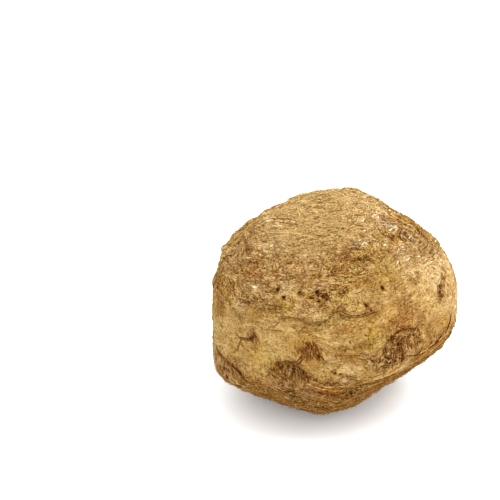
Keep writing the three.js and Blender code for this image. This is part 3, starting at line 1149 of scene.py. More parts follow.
@dataclass(frozen=True)
class CorkySkin:
    """Celeriac skin: a dry, corky bark over pale flesh, matt, with fine fibres along its grain.

    Attributes:
        straw, ochre: the two base colours, in patches a centimetre or two across.
        tan: the crown's own base colour, also laid on rough skin's crests as painted highlight.
        gold: dry yellow flesh that shows between the shoulder's scales.
        cream: papery edges and paler patches, some of them painted highlight on the brow's crests.
        rust: stains round old roots.
        olive: greenish patches where the flesh shows through.
        bark: matted fibre of the underside and scars.
        umber, soot: darker stains, streaks and pits, and painted shade in grooves and under loose fibres.
        patterns: size of each noise's lumps in the grain's three coordinates, in millimetres, and
            how many finer layers it has. Fibres in real bark are 0.1 to 0.3 mm apart, too fine
            to show, so they are drawn 0.8 to 0.9 mm apart.
        bumps: height of each pattern in the skin's finest relief, over the bands' height of 1.
        bump_depth: what a height of 1 stands for, in millimetres.
        bump_strength: how much of that relief shows.
        ior, roughness: those of dry cellulose with a rough surface.
        bare_roughness: of the skin in the gaps between its threads and on top of them.
        thread_limits: the threads' own noise in those two places.
        gloss: specular level, low because loose fibre traps most of the surface's reflection.
    """

    straw: str = "AA8F59"
    ochre: str = "9A763A"
    tan: str = "BEA36D"
    gold: str = "C29A50"
    cream: str = "D0B890"
    rust: str = "8E5622"
    olive: str = "A08A38"
    bark: str = "94682F"
    umber: str = "B89A5E"
    soot: str = "90683E"
    patterns: tuple[tuple[str, tuple[float, float, float], float], ...] = (
        ("patches", (18.0, 18.0, 11.0), 2.0),
        ("blotches", (5.0, 5.0, 3.0), 2.0),
        ("bands", (14.0, 14.0, 1.8), 3.0),
        ("threads", (3.2, 3.2, 0.9), 1.0),
        ("brushing", (3.6, 3.6, 0.8), 1.0),
        ("mottle", (3.5, 3.5, 2.2), 3.0),
        ("grit", (1.3, 1.3, 1.1), 1.0),
        ("specks", (0.75, 0.75, 0.6), 0.0),
        ("dots", (1.5, 1.5, 1.5), 0.0),
    )
    finer_share: float = 0.6  # strength of each finer layer of a noise, of the coarser one's
    bumps: tuple[tuple[str, float], ...] = (("threads", 1.4), ("brushing", 0.6), ("grit", 0.8))
    bump_depth: float = 0.5
    bump_strength: float = 0.8
    ior: float = 1.45
    roughness: float = 0.85
    bare_roughness: tuple[float, float] = (0.95, 0.7)
    thread_limits: tuple[float, float] = (0.3, 0.7)
    gloss: float = 0.04

    def ground(self) -> tuple[Layer, ...]:
        """The colours of skin and fibres alike.

        Returns:
            Their layers, the lowest first.
        """
        return (
            Layer(self.ochre, "patches", 0.36, 0.64, blend=Blend.PAINT),
            Layer(self.tan, "crown", 0.0, 1.0, blend=Blend.PAINT),
            Layer(self.gold, "mottle", 0.5, 0.64, 0.5, "scaly", Blend.PAINT),
            Layer(self.umber, "mottle", 0.47, 0.34, 0.4, "scaly"),
            Layer(self.olive, "blotches", 0.35, 0.55, 0.5, "olive", Blend.PAINT),
            Layer(self.rust, "blotches", 0.3, 0.52, 0.75, "rust", Blend.PAINT),
            Layer(self.rust, "blotches", 0.5, 0.36, 0.5, "scaly", Blend.PAINT),
            Layer(self.umber, "umber", 0.0, 1.0, 0.7),
            Layer(self.bark, "rooty", 0.0, 1.0, 0.85, blend=Blend.PAINT),
            Layer(self.rust, "rust", 0.3, 0.8, 0.7, "rooty", Blend.PAINT),
            Layer(self.cream, "blotches", 0.32, 0.57, 0.6, "pale", Blend.PAINT),
            Layer(self.cream, "blotches", 0.4, 0.58, 0.25, "papery", Blend.PAINT),
        )

    def bark_layers(self) -> tuple[Layer, ...]:
        """What lies over the ground colours on the skin itself: threads, specks, pits, painted shade and
        highlight.

        Returns:
            Their layers, the lowest first.
        """
        return (
            # painted shade that the loose fibres would cast, darkest in the scars and on the underside
            Layer(self.umber, "matted", 0.0, 1.0),
            Layer(self.soot, "rooty", 0.4, 1.0, 0.45),
            Layer(self.umber, "bands", 0.47, 0.36, 0.45),
            Layer(self.umber, "mottle", 0.5, 0.32, 0.35),
            Layer(self.cream, "mottle", 0.52, 0.7, 0.2, blend=Blend.PAINT),
            Layer(self.umber, "brushing", 0.46, 0.34, 0.3),
            Layer(self.umber, "grit", 0.46, 0.34, 0.35),
            Layer(self.umber, "specks", 0.48, 0.3, 0.3),
            Layer(self.umber, "specks", 0.48, 0.3, 0.8, "rough"),
            Layer(self.cream, "specks", 0.54, 0.7, 0.1, blend=Blend.PAINT),
            Layer(self.tan, "specks", 0.54, 0.7, 0.5, "rough", Blend.PAINT),
            # painted shade: darker where the fine relief sinks into grooves, pits and scar floors
            Layer(self.umber, "height", 0.0, -0.8),
            # painted highlight: tan on the crests of the rough skin's fine relief
            Layer(self.tan, "height", 0.2, 0.9, 0.6, "rough", Blend.PAINT),
            Layer(self.umber, "grit", 0.44, 0.34, 1.0, "rough"),
            Layer(self.soot, "grit", 0.44, 0.34, 0.7, "rooty"),
            Layer(self.soot, "threads", 0.42, 0.34, 0.7, "rough"),
            Layer(self.tan, "threads", 0.6, 0.68, 0.7, "rough", Blend.PAINT),
            Layer(self.umber, "dots", 0.34, 0.26, 0.7),
            Layer(self.soot, "pit", 0.3, 0.8),
            Layer(self.soot, "pit", 0.5, 0.9, 0.2),
        )

    def surface(self, board: Board, layers: tuple[Layer, ...]) -> tuple[Colour, Numbers]:
        """Lays the ground colours and more over them.

        Args:
            board: the material.
            layers: laid over the ground colours, in order.

        Returns:
            The colour, and the sockets of the patterns and marks by name.
        """
        numbers = {
            name: board.add("Attribute", {"attribute_name": name}).outputs["Fac"]
            for name in (*Marks.SHARES, "height", "shade")
        }
        grain = board.add("Attribute", {"attribute_name": "grain"}).outputs["Vector"]
        for name, size, detail in self.patterns:
            cells = board.add("VectorMath", {"operation": "DIVIDE"}, {0: grain, 1: size}).outputs[0]
            noise = {"Vector": cells, "Scale": 1.0, "Detail": detail, "Roughness": self.finer_share}
            numbers[name] = board.add("TexNoise", None, noise).outputs[0]
        colour = linear(self.straw)
        for layer in (*self.ground(), *layers):
            colour = layer.lay(board, numbers, colour)
        return colour, numbers

    def skin(self) -> bpy.types.Material:
        """The skin's own material.

        Returns:
            The material.
        """
        board = Board("celeriac_skin")
        colour, numbers = self.surface(board, self.bark_layers())
        relief = numbers["bands"]
        for pattern, height in self.bumps:
            terms = {0: numbers[pattern], 1: height, 2: relief}
            relief = board.add("Math", {"operation": "MULTIPLY_ADD"}, terms).outputs[0]
        depth = {"Strength": self.bump_strength, "Distance": self.bump_depth * MM}
        normal = board.add("Bump", None, depth | {"Height": relief}).outputs[0]
        ends = ("From Min", "From Max", "To Min", "To Max")
        limits = dict(zip(ends, (*self.thread_limits, *self.bare_roughness)))
        roughness = board.add("MapRange", None, {"Value": numbers["threads"]} | limits).outputs[0]
        return self.finished(board, colour, {"Roughness": roughness, "Normal": normal})

    def fibre(self, name: str, contrast: float, pale: str) -> bpy.types.Material:
        """A fibre's material: the ground colour below it, with each fibre paler or darker.

        Args:
            name: the material's name.
            contrast: how far the palest and darkest fibres leave the ground colour.
            pale: colour that the palest ones go to.

        Returns:
            The material.
        """
        board = Board(name)
        layers = (
            Layer(self.umber, "shade", 0.5, 0.0, contrast),
            Layer(self.umber, "shade", 0.2, 0.0, contrast),
            Layer(pale, "shade", 0.5, 1.0, contrast, blend=Blend.PAINT),
            Layer(self.umber, "specks", 0.5, 0.32, 0.9),
        )
        colour, _ = self.surface(board, layers)
        return self.finished(board, colour, {"Roughness": self.roughness})

    def finished(self, board: Board, colour: Colour, inputs: dict[str, object]) -> bpy.types.Material:
        """Ends a material with its shader.

        Args:
            board: the material so far.
            colour: its colour.
            inputs: the shader's other inputs, by name, apart from its IOR and gloss.

        Returns:
            The material.
        """
        dry = {"Base Color": colour, "IOR": self.ior, "Specular IOR Level": self.gloss}
        shader = board.add("BsdfPrincipled", None, dry | inputs)
        board.add("OutputMaterial", None, {"Surface": shader.outputs[0]})
        return board.material


# ---------------------------------------------------------------------------------------------
# The root's pieces
# ---------------------------------------------------------------------------------------------


def dress(piece: bpy.types.Object, marks: Marks, material: bpy.types.Material) -> None:
    """Gives a piece its marks, its material and its place on the root's body.

    Args:
        piece: a piece of the root.
        marks: what the skin is like at each of its vertices.
        material: its material.
    """
    keep_numbers(piece, "grain", marks.grain.reshape(-1, 3))
    for name in Marks.SHARES:
        keep_numbers(piece, name, getattr(marks, name).ravel())
    piece.data.materials.append(material)
    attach(piece, BODY)


@dataclass(frozen=True)
class Skin:
    """The root's whole skin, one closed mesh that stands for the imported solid.

    Attributes:
        detail: its fine forms and marks.
        cells: along each edge of the cube that its grid comes from.
        deepest: fine relief, in millimetres, that counts as a full crest or groove.
    """

    detail: SkinDetail
    cells: int = 128
    deepest: float = 0.8

    def build(self) -> bpy.types.Object:
        """Makes the skin's mesh, with the attributes that its material reads.

        Returns:
            The piece.
        """
        rays, quads = round_grid(self.cells)
        points, marks, fine = self.detail.skin(rays)
        piece = mesh_piece("celeriac_skin", points, quads)
        # the fine relief, from which the material paints shade into grooves and highlight onto crests
        keep_numbers(piece, "height", np.clip(fine / self.deepest, -1.0, 1.0))
        dress(piece, marks, CorkySkin().skin())
        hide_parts(NODE)
        return piece


@dataclass(frozen=True)
class Threads:
    """Thin closed threads along given lines, each one paler or darker than the next.

    Attributes:
        detail: the skin that they lie on.
        name: the piece's name.
        pale: colour of the palest.
        contrast: how far the palest and darkest leave the skin's colour.
        thickness: thinnest and thickest, in millimetres.
        flatness: how many times wider than thick a thread is.
        sides: of a thread's section.
        tip: thickness of its ends, of the middle's.
        clearance: height above the table that no part of a thread goes below, in millimetres.
    """

    detail: SkinDetail
    name: str
    pale: str
    contrast: float
    thickness: tuple[float, float]
    flatness: float = 1.0
    sides: int = 3
    tip: float = 0.25
    clearance: float = 0.02

    def build(self, rays: Array, lift: Array, shade: Array, random: np.random.Generator) -> bpy.types.Object:
        """Carries a tapering section along each line and closes both its ends.

        Each corner of the section lies at half the thickness from the line, in its own direction
        square to it, and farther to the sides by the flatness. The thickness falls towards both
        ends by the cube of the distance from the middle.

        Args:
            rays: unit vectors to the lines' points, threads by points by 3.
            lift: height of each point above the skin, in millimetres.
            shade: of each thread, from 0, dark, to 1, pale.
            random: draws the threads' thicknesses.

        Returns:
            The piece.
        """
        threads, rings = rays.shape[:2]
        line, marks, _ = self.detail.skin(rays, lift)
        ahead = np.gradient(line, axis=1)
        ahead /= np.linalg.norm(ahead, axis=-1)[..., None] + TINY
        aside = np.cross(ahead, rays)
        aside /= np.linalg.norm(aside, axis=-1)[..., None] + TINY
        outward = np.cross(aside, ahead)
        taper = 1.0 - (1.0 - self.tip) * np.abs(np.linspace(-1.0, 1.0, rings)) ** 3
        half = 0.5 * random.uniform(*self.thickness, threads)[:, None] * taper
        angle = 2.0 * math.pi * np.arange(self.sides) / self.sides + math.pi / 2.0
        reach = self.flatness * np.cos(angle)[:, None] * aside[..., None, :]
        reach = reach + np.sin(angle)[:, None] * outward[..., None, :]
        points = line[..., None, :] + half[..., None, None] * reach
        points[..., 2] = np.maximum(points[..., 2], self.clearance)

        corner = np.arange(self.sides)
        beyond = (corner + 1) % self.sides
        first = (np.arange(threads)[:, None, None] * rings + np.arange(rings - 1)[:, None]) * self.sides
        loop = (first + corner, first + beyond, first + self.sides + beyond, first + self.sides + corner)
        quads = np.stack(loop, axis=-1).reshape(-1, 4)
        tail = np.arange(threads)[:, None] * rings * self.sides
        caps = np.concatenate([tail + corner[::-1], tail + (rings - 1) * self.sides + corner])
        piece = mesh_piece(self.name, points.reshape(-1, 3), quads, caps)
        keep_numbers(piece, "shade", np.repeat(shade, rings * self.sides))
        names = [field.name for field in fields(Marks)]
        spread = {name: np.repeat(getattr(marks, name), self.sides, axis=1) for name in names}
        dress(piece, Marks(**spread), CorkySkin().fibre(self.name, self.contrast, self.pale))
        return piece


class Region(Enum):
    """Where a mat's fibres grow."""

    CROWN = "crown_fibres"
    SHOULDER = "shoulder_fibres"
    BELLY = "belly_fibres"
    SCARS = "scar_fibres"
    UNDERSIDE = "underside_fibres"
    PAPER = "papery_flakes"


@dataclass(frozen=True)
class FibreMat:
    """Fine dry fibres that lie on the skin roughly along its grain.

    Attributes:
        region: where they lie.
        threads: what each of them is like.
        density: fibres laid out for each square millimetre of the region.
        length: shortest and longest, in millimetres.
        spread: how far their headings stray from the grain's, in degrees.
        curl: how far they turn on their way, in degrees.
        lift: how far their free ends stand off the skin at most, in millimetres.
        seed: draws their places and courses.
        steps: straight parts in each.
        rest: how high their other ends lie on it, in millimetres.
        probe: how far the grain is looked at to each side, in millimetres.
    """

    region: Region
    threads: Threads
    density: float
    length: tuple[float, float]
    spread: float
    curl: float
    lift: float
    seed: int
    steps: int = 3
    rest: float = 0.05
    probe: float = 0.4

    def starts(self, random: np.random.Generator) -> Array:
        """Where fibres start, evenly spread over the region.

        Args:
            random: draws the places.

        Returns:
            Unit vectors from the heart.
        """
        detail = self.threads.detail
        laid = int(self.density * 4.0 * math.pi * detail.form.mean_radius**2)
        rays = random.normal(size=(laid, 3))
        rays /= np.linalg.norm(rays, axis=1)[:, None]
        marks = detail.marks(detail.form.place(rays))
        plain = (1.0 - marks.scar) * (1.0 - marks.pit)
        share_of = {
            Region.CROWN: marks.crown * plain,
            Region.SHOULDER: marks.scaly * plain,
            Region.BELLY: (1.0 - marks.crown) * (1.0 - marks.scaly) * (1.0 - marks.under) * plain,
            Region.SCARS: marks.scar,
            Region.UNDERSIDE: marks.under * (1.0 - marks.scar),
            Region.PAPER: marks.papery * (marks.crown + marks.scaly),
        }[self.region]
        return rays[random.uniform(size=laid) < share_of]

    def paths(self, rays: Array, random: np.random.Generator) -> Array:
        """Carries each fibre from its start.

        A fibre sets out along the grain, turned by its own stray angle, and curls evenly. The
        grain's direction is square to the slope of its third coordinate, which short steps to all
        four sides give.

        Args:
            rays: where the fibres start.
            random: draws their lengths, headings and curls.

        Returns:
            The rays along each fibre.
        """
        detail, radius = self.threads.detail, self.threads.detail.form.mean_radius
        fibres = len(rays)
        east = np.cross(detail.form.axes()[0], rays)
        east /= np.linalg.norm(east, axis=1)[:, None] + TINY
        north = np.cross(rays, east)
        step = self.probe / radius
        ways = (east, -east, north, -north)
        across = [detail.grain(detail.form.place(rays + step * way))[:, 2] for way in ways]
        heading = np.arctan2(across[0] - across[1], across[3] - across[2])
        heading += np.radians(self.spread) * random.normal(size=fibres)
        heading += math.pi * random.integers(0, 2, fibres)
        length = random.uniform(*self.length, fibres)
        curl = np.radians(self.curl) * random.normal(size=fibres)
        path = [rays]
        for part in range(self.steps):
            turned = heading + curl * (part + 0.5) / self.steps
            way = np.cos(turned)[:, None] * east + np.sin(turned)[:, None] * north
            ahead = path[-1] + way * (length / self.steps / radius)[:, None]
            path.append(ahead / np.linalg.norm(ahead, axis=1)[:, None])
        return np.stack(path, axis=1)

    def build(self) -> bpy.types.Object:
        """Makes the mat.

        A fibre's height grows by the square of the distance along it. Its free end's height goes
        by the cube of an even draw, so that most fibres lie flat and a few stand up.

        Returns:
            The piece.
        """
        random = np.random.default_rng(self.seed)
        rays = self.paths(self.starts(random), random)
        along = np.linspace(0.0, 1.0, self.steps + 1)
        free_end = self.lift * random.uniform(size=len(rays)) ** 3
        lift = self.rest + free_end[:, None] * along**2
        return self.threads.build(rays, lift, random.uniform(size=len(rays)), random)


@dataclass(frozen=True)
class Bundle:
    """Threads laid side by side along a route over the skin.

    Attributes:
        route: azimuths and elevations that the bundle passes through.
        threads: how many.
        width: of the bundle, in millimetres.
        shade: of the darkest and the palest thread, from 0 to 1.
    """

    route: tuple[tuple[float, float], ...]
    threads: int
    width: float
    shade: tuple[float, float] = (0.0, 0.5)


@dataclass(frozen=True)
class RootStrands:
    """Strands left by torn side roots: dark creases, painted shade and pale fibres round the scars and the
    rim.

    Attributes:
        threads: what each strand is like.
        steps: points along each.
        lift: how high they lie on the skin, in millimetres.
        sway: how far they usually stray from their course, in millimetres.
        seed: draws their offsets and shades.
        bundles: all of them, from the knob in front outwards.
    """

    threads: Threads
    steps: int = 14
    lift: float = 0.08
    sway: float = 0.35
    seed: int = 71
    bundles: tuple[Bundle, ...] = (
        # flanks of the knob in front
        Bundle(((-102, 11), (-100, 8), (-98, 4), (-95, 0)), 6, 2.2, (0.0, 0.35)),
        Bundle(((-101, 8), (-99, 3), (-97, 0), (-96, -5)), 3, 1.0, (0.1, 0.4)),
        Bundle(((-103, 10), (-105, 8), (-108, 7)), 4, 1.2, (0.0, 0.35)),
        Bundle(((-103, 8), (-106, 3), (-108, 0), (-113, -2)), 6, 1.8, (0.0, 0.35)),
        Bundle(((-102, 10), (-102, 7), (-102, 3)), 5, 1.8, (0.0, 0.4)),
        Bundle(((-96, 1), (-93, 0), (-88, -1)), 2, 0.6, (0.2, 0.4)),
        Bundle(((-92, 4), (-87, 4), (-80, 4)), 2, 0.8, (0.15, 0.35)),
        # edges of the scar below it and of the one at the left; along the upper edge of the scar below, dark
        # strands paint the shadow under its rim
        Bundle(
            ((-123, -11), (-117, -4), (-113, -2), (-107, -4), (-104, -8), (-104, -11)), 9, 1.2, (0.0, 0.2)
        ),
        Bundle(((-156, -9), (-151, -10), (-145, -11), (-139, -13), (-134, -17)), 7, 1.2, (0.0, 0.2)),
        Bundle(((-154, -13), (-148, -15), (-142, -17), (-136, -21)), 7, 2.4, (0.0, 0.5)),
        # strands that run from the scar in front to the right
        Bundle(
            ((-104, -10), (-101, -12), (-96, -15), (-90, -15), (-85, -14), (-78, -7)), 8, 2.0, (0.3, 1.0)
        ),
        Bundle(
            ((-107, -13), (-101, -15), (-95, -17), (-90, -18), (-84, -16), (-79, -12)), 7, 1.6, (0.0, 0.5)
        ),
        Bundle(((-106, -12), (-101, -14), (-96, -16), (-90, -17), (-84, -15)), 3, 0.8, (0.8, 1.0)),
        Bundle(((-104, -16), (-98, -19), (-92, -20), (-87, -21)), 6, 2.0, (0.0, 0.4)),
        # edge of the scar on the right, and the rim that runs past it
        Bundle(((-69, 8), (-64, 12), (-60, 13), (-56, 12), (-51, 10), (-50, 6)), 6, 1.2, (0.0, 0.1)),
        Bundle(((-76, 2), (-72, 6), (-67, 10)), 3, 0.9, (0.1, 0.35)),
        Bundle(((-58, -1), (-51, -3), (-44, -4), (-37, -2), (-32, 1)), 7, 1.6, (0.0, 0.1)),
        Bundle(((-62, -5), (-53, -5), (-44, -5), (-33, -3), (-24, 0)), 14, 4.0, (0.0, 1.0)),
        Bundle(((-80, -12), (-68, -8), (-60, -4)), 9, 3.6, (0.1, 1.0)),
        Bundle(((-87, -14), (-80, -13), (-73, -9), (-65, -7), (-56, -5)), 10, 3.0, (0.0, 1.0)),
        Bundle(((-84, -18), (-74, -16), (-62, -14), (-48, -11), (-36, -4)), 12, 4.0, (0.0, 0.8)),
        # below the rim, and down from the scar in front
        Bundle(
            ((-108, -13), (-103, -19), (-96, -25), (-88, -28), (-80, -26), (-72, -21)), 14, 5.0, (0.0, 0.9)
        ),
        Bundle(((-122, -19), (-122, -28), (-117, -37), (-108, -43)), 12, 8.0, (0.0, 0.8)),
        Bundle(((-120, -15), (-126, -17), (-133, -18), (-140, -19)), 8, 3.0, (0.0, 0.7)),
        # creases near the right edge
        Bundle(((-46, 6), (-42, 8), (-39, 11)), 3, 0.8, (0.1, 0.4)),
        Bundle(((-31, 0), (-28, 3), (-25, 7)), 4, 1.0, (0.0, 0.1)),
        # cracks round the small scars
        Bundle(((-131, 8), (-132, 5), (-134, 3), (-138, 2), (-141, -5)), 5, 0.9, (0.0, 0.2)),
        Bundle(((-137, 3), (-140, 2), (-142, 3)), 2, 0.4, (0.0, 0.2)),
        Bundle(((-112, 17), (-110, 15), (-107, 12)), 1, 0.3, (0.1, 0.2)),
        Bundle(((-24, 27), (-27, 23), (-30, 19), (-33, 16)), 7, 1.6, (0.0, 0.2)),
        Bundle(((-22, 26), (-24, 22), (-27, 17)), 4, 1.2, (0.6, 1.0)),
        # wrinkles round the brow, between the rough shoulders and the smooth belly: brown lines that are
        # also painted shade in the creases
        Bundle(((-150, 10), (-142, 13), (-134, 15), (-128, 18), (-121, 19)), 7, 3.4, (0.1, 0.5)),
        Bundle(((-138, 11), (-131, 13), (-126, 14), (-120, 17)), 3, 1.8, (0.2, 0.5)),
        Bundle(
            ((-119, 18), (-114, 19), (-109, 19), (-104, 18), (-98, 19), (-95, 21), (-92, 25)),
            7, 1.5, (0.05, 0.4),
        ),
        Bundle(((-112, 17), (-105, 16), (-99, 16)), 3, 1.4, (0.1, 0.4)),
        Bundle(((-132, 20), (-125, 22), (-117, 23)), 4, 2.0, (0.1, 0.45)),
        Bundle(((-130, 18), (-125, 19), (-119, 20)), 3, 1.4, (0.1, 0.45)),
        Bundle(((-124, 21), (-120, 26), (-117, 28)), 3, 1.0, (0.1, 0.4)),
        Bundle(((-109, 15), (-103, 15), (-97, 16)), 3, 1.0, (0.0, 0.3)),
        Bundle(((-126, 11), (-121, 12), (-116, 13)), 2, 0.6, (0.0, 0.3)),
        Bundle(((-92, 24), (-82, 21), (-70, 23)), 4, 4.0, (0.0, 0.3)),
        # coarse fibres down the right shoulder, and the pale ridge beside them
        Bundle(((3, 73), (-16, 65), (-18, 57), (-19, 48), (-18, 40)), 14, 5.0, (0.0, 1.0)),
        Bundle(((-25, 76), (-18, 67), (-22, 59), (-23, 49), (-20, 38)), 14, 6.0, (0.1, 1.0)),
        Bundle(((-58, 73), (-60, 65), (-54, 56), (-45, 50), (-39, 43)), 12, 7.0, (0.0, 1.0)),
        Bundle(((-40, 66), (-37, 60), (-31, 53), (-27, 45)), 12, 6.0, (0.0, 1.0)),
        Bundle(((10, 58), (-6, 53), (-12, 47), (-14, 42), (-19, 37)), 9, 2.6, (0.0, 0.3)),
        # long fibres over the crown's left side
        Bundle(
            ((-160, 40), (-155, 46), (-149, 51), (-136, 56), (-118, 57), (-101, 56)), 14, 7.0, (0.0, 1.0)
        ),
        Bundle(((-167, 46), (-166, 52), (-160, 59), (-142, 64), (-118, 66)), 12, 9.0, (0.0, 1.0)),
        Bundle(((-168, 36), (-172, 44), (176, 50), (160, 56)), 9, 5.0, (0.0, 1.0)),
    )  # fmt: skip

    def build(self) -> bpy.types.Object:
        """Makes all the bundles as one piece.

        A strand follows its bundle's route, drawn smoothly through the points given, at its own
        distance to one side, and sways a little by a sine wave.

        Returns:
            The piece.
        """
        random = np.random.default_rng(self.seed)
        paths, shades = [], []
        for bundle in self.bundles:
            stations = direction(*np.array(bundle.route, float).T)
            at = np.linspace(0.0, len(stations) - 1.0, self.steps)
            route = smooth_route(stations, at)
            beside = np.cross(route, np.gradient(route, axis=0))
            beside /= np.linalg.norm(beside, axis=1)[:, None]
            offset = bundle.width * random.uniform(-0.5, 0.5, bundle.threads)
            sway = self.sway * random.normal(size=bundle.threads)
            phase = random.uniform(0.0, 2.0 * math.pi, bundle.threads)
            aside = offset[:, None] + sway[:, None] * np.sin(at + phase[:, None])
            path = route + beside * (aside / self.threads.detail.form.mean_radius)[..., None]
            paths.append(path / np.linalg.norm(path, axis=-1)[..., None])
            shades.append(random.uniform(*bundle.shade, bundle.threads))
        rays, shade = np.concatenate(paths), np.concatenate(shades)
        lift = np.full(rays.shape[:2], self.lift)
        return self.threads.build(rays, lift, shade, random)


def smooth_route(stations: Array, at: Array) -> Array:
    """Unit vectors along a curve through stations, a Catmull-Rom spline on the sphere.

    Args:
        stations: unit vectors that the curve passes through.
        at: where along it, counted in stations from 0.

    Returns:
        The vectors.
    """
    first = 2.0 * stations[:1] - stations[1:2]
    last = 2.0 * stations[-1:] - stations[-2:-1]
    padded = np.concatenate([first, stations, last])
    index = np.minimum(at.astype(int), len(stations) - 2)
    t = (at - index)[:, None]
    before, start, end, after = (padded[index + step] for step in range(4))
    square = 2.0 * before - 5.0 * start + 4.0 * end - after
    cube = 3.0 * (start - end) + after - before
    curve = start + 0.5 * t * (end - before + t * (square + t * cube))
    return curve / np.linalg.norm(curve, axis=1)[:, None]


# ---------------------------------------------------------------------------------------------
# The studio
# ---------------------------------------------------------------------------------------------


@dataclass(frozen=True)
class Studio:
    """A white table under soft light, and the camera.

    Attributes:
        form: the root that it is set up for.
        elevation: degrees that the camera looks down.
        distance: from the camera to the root's heart, in millimetres.
        pixels_per_mm: how large the heart's plane shows.
        heart_pixel: where the heart shows in a square view of view_pixels.
        sensor: the camera's width, in millimetres.
        clip: the nearest and farthest that it sees, in metres.
        floor_size: the table's width, in millimetres.
        table_white, table_roughness: the table's finish.
        table_glow: how much the table shines by itself, which keeps shadows on it pale.
        sky: strength of the white surround.
        key_place, key_size, key_power: of the soft lamp, in millimetres and watts.
    """

    form: RootForm
    elevation: float = 27.0
    distance: float = 900.0
    pixels_per_mm: float = 245.0 / 115.0
    heart_pixel: tuple[float, float] = (334.0, 302.0)
    view_pixels: float = 500.0
    sensor: float = 36.0
    clip: tuple[float, float] = (0.01, 20.0)
    floor_size: float = 6000.0
    table_white: float = 0.92
    table_roughness: float = 0.9
    table_glow: float = 0.08
    sky: float = 1.75
    key_place: tuple[float, float, float] = (440.0, -60.0, 800.0)
    key_size: float = 600.0
    key_power: float = 6.5

    def camera(self) -> None:
        """Makes the camera. It stands square to the view, moved sideways to place the root."""
        tilt = math.radians(self.elevation)
        forward = np.array([0.0, math.cos(tilt), -math.sin(tilt)])
        up = np.array([0.0, math.sin(tilt), math.cos(tilt)])
        right = np.array([1.0, 0.0, 0.0])
        middle = self.view_pixels / 2.0
        sideways = (middle - self.heart_pixel[0]) / self.pixels_per_mm
        upwards = (self.heart_pixel[1] - middle) / self.pixels_per_mm
        place = np.array(self.form.heart) - self.distance * forward + sideways * right + upwards * up
        data = bpy.data.cameras.new("camera")
        data.sensor_width = self.sensor
        data.lens = self.pixels_per_mm * self.distance / self.view_pixels * self.sensor
        data.clip_start, data.clip_end = self.clip
        camera = bpy.data.objects.new("camera", data)
        turn = Matrix.Rotation(math.pi / 2.0 - tilt, 4, "X")
        camera.matrix_world = Matrix.Translation(Vector(place * MM)) @ turn
        bpy.context.scene.collection.objects.link(camera)
        bpy.context.scene.camera = camera

    def lights(self) -> None:
        """Makes the even white surround and one large soft lamp."""
        world = bpy.data.worlds.new("white_surround")
        world.use_nodes = True
        surround = world.node_tree.nodes["Background"]
        surround.inputs["Color"].default_value = (1.0, 1.0, 1.0, 1.0)
        surround.inputs["Strength"].default_value = self.sky
        bpy.context.scene.world = world
        data = bpy.data.lights.new("key", "AREA")
        data.size, data.energy = self.key_size * MM, self.key_power
        lamp = bpy.data.objects.new("key", data)
        lamp.location = Vector(self.key_place) * MM
        aim = Vector(self.form.heart) * MM - lamp.location
        lamp.rotation_mode = "QUATERNION"
        lamp.rotation_quaternion = aim.to_track_quat("-Z", "Y")
        bpy.context.scene.collection.objects.link(lamp)

    def floor(self) -> None:
        """Makes the table, a plain white sheet at the height that the root rests on."""
        half = self.floor_size / 2.0
        corners = half * np.array([[-1.0, -1.0, 0.0], [1.0, -1.0, 0.0], [1.0, 1.0, 0.0], [-1.0, 1.0, 0.0]])
        floor = mesh_piece("table", corners, np.array([[0, 1, 2, 3]]))
        board = Board("matt_white_board")
        white = {"Base Color": (*[self.table_white] * 3, 1.0), "Roughness": self.table_roughness}
        glow = {"Emission Color": (1.0, 1.0, 1.0, 1.0), "Emission Strength": self.table_glow}
        shader = board.add("BsdfPrincipled", None, white | glow)
        board.add("OutputMaterial", None, {"Surface": shader.outputs[0]})
        floor.data.materials.append(board.material)

    def build(self) -> None:
        """Sets the whole studio up."""
        self.camera()
        self.lights()
        self.floor()
        bpy.context.scene.view_settings.view_transform = "Standard"


# ---------------------------------------------------------------------------------------------
# The scene
# ---------------------------------------------------------------------------------------------


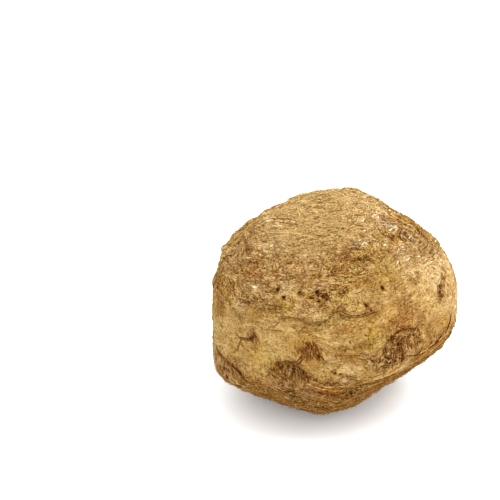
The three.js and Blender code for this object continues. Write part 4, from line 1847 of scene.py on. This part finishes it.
def root_pieces() -> list[Skin | FibreMat | RootStrands]:
    """Lists what makes each piece of the root.

    Returns:
        The makers, in the order that they are built.
    """
    detail = SkinDetail(RootForm())
    crown = Threads(detail, "crown_fibres", pale="D8BE88", contrast=0.95, thickness=(0.2, 0.36))
    shoulder = Threads(
        detail, "shoulder_fibres", pale="D2A856", contrast=0.9, thickness=(0.18, 0.34), flatness=1.2
    )
    belly = Threads(detail, "belly_fibres", pale="C4A262", contrast=0.42, thickness=(0.14, 0.24))
    scar = Threads(detail, "scar_fibres", pale="CCA464", contrast=1.0, thickness=(0.2, 0.32))
    under = Threads(detail, "underside_fibres", pale="BA8C42", contrast=0.9, thickness=(0.2, 0.36))
    flake = Threads(
        detail, "papery_flakes", pale="F6EACB", contrast=0.95, thickness=(0.16, 0.34), flatness=1.8, sides=4
    )
    strand = Threads(detail, "root_strands", pale="D4B070", contrast=0.95, thickness=(0.26, 0.44), sides=4)
    return [
        Skin(detail),
        FibreMat(Region.CROWN, crown, 0.8, (3.0, 10.0), spread=18.0, curl=36.0, lift=0.8, seed=41, steps=4),
        FibreMat(Region.SHOULDER, shoulder, 1.1, (1.2, 3.6), spread=50.0, curl=50.0, lift=1.0, seed=42),
        FibreMat(Region.BELLY, belly, 0.35, (1.0, 4.0), spread=20.0, curl=40.0, lift=0.05, seed=43),
        FibreMat(Region.SCARS, scar, 1.6, (1.5, 4.5), spread=50.0, curl=60.0, lift=0.6, seed=44),
        FibreMat(Region.UNDERSIDE, under, 0.45, (3.0, 10.0), spread=38.0, curl=60.0, lift=1.4, seed=45),
        FibreMat(Region.PAPER, flake, 1.6, (1.1, 3.4), spread=30.0, curl=40.0, lift=0.8, seed=46),
        RootStrands(strand),
    ]


def main() -> None:
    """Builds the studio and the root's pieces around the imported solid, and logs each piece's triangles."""
    logging.basicConfig(level=logging.INFO, format="%(name)s: %(message)s")
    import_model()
    Studio(RootForm()).build()
    for maker in root_pieces():
        piece = maker.build()
        triangles = sum(len(face.vertices) - 2 for face in piece.data.polygons)
        log.info("%s: %d triangles", piece.name, triangles)


if __name__ == "__main__":
    main()
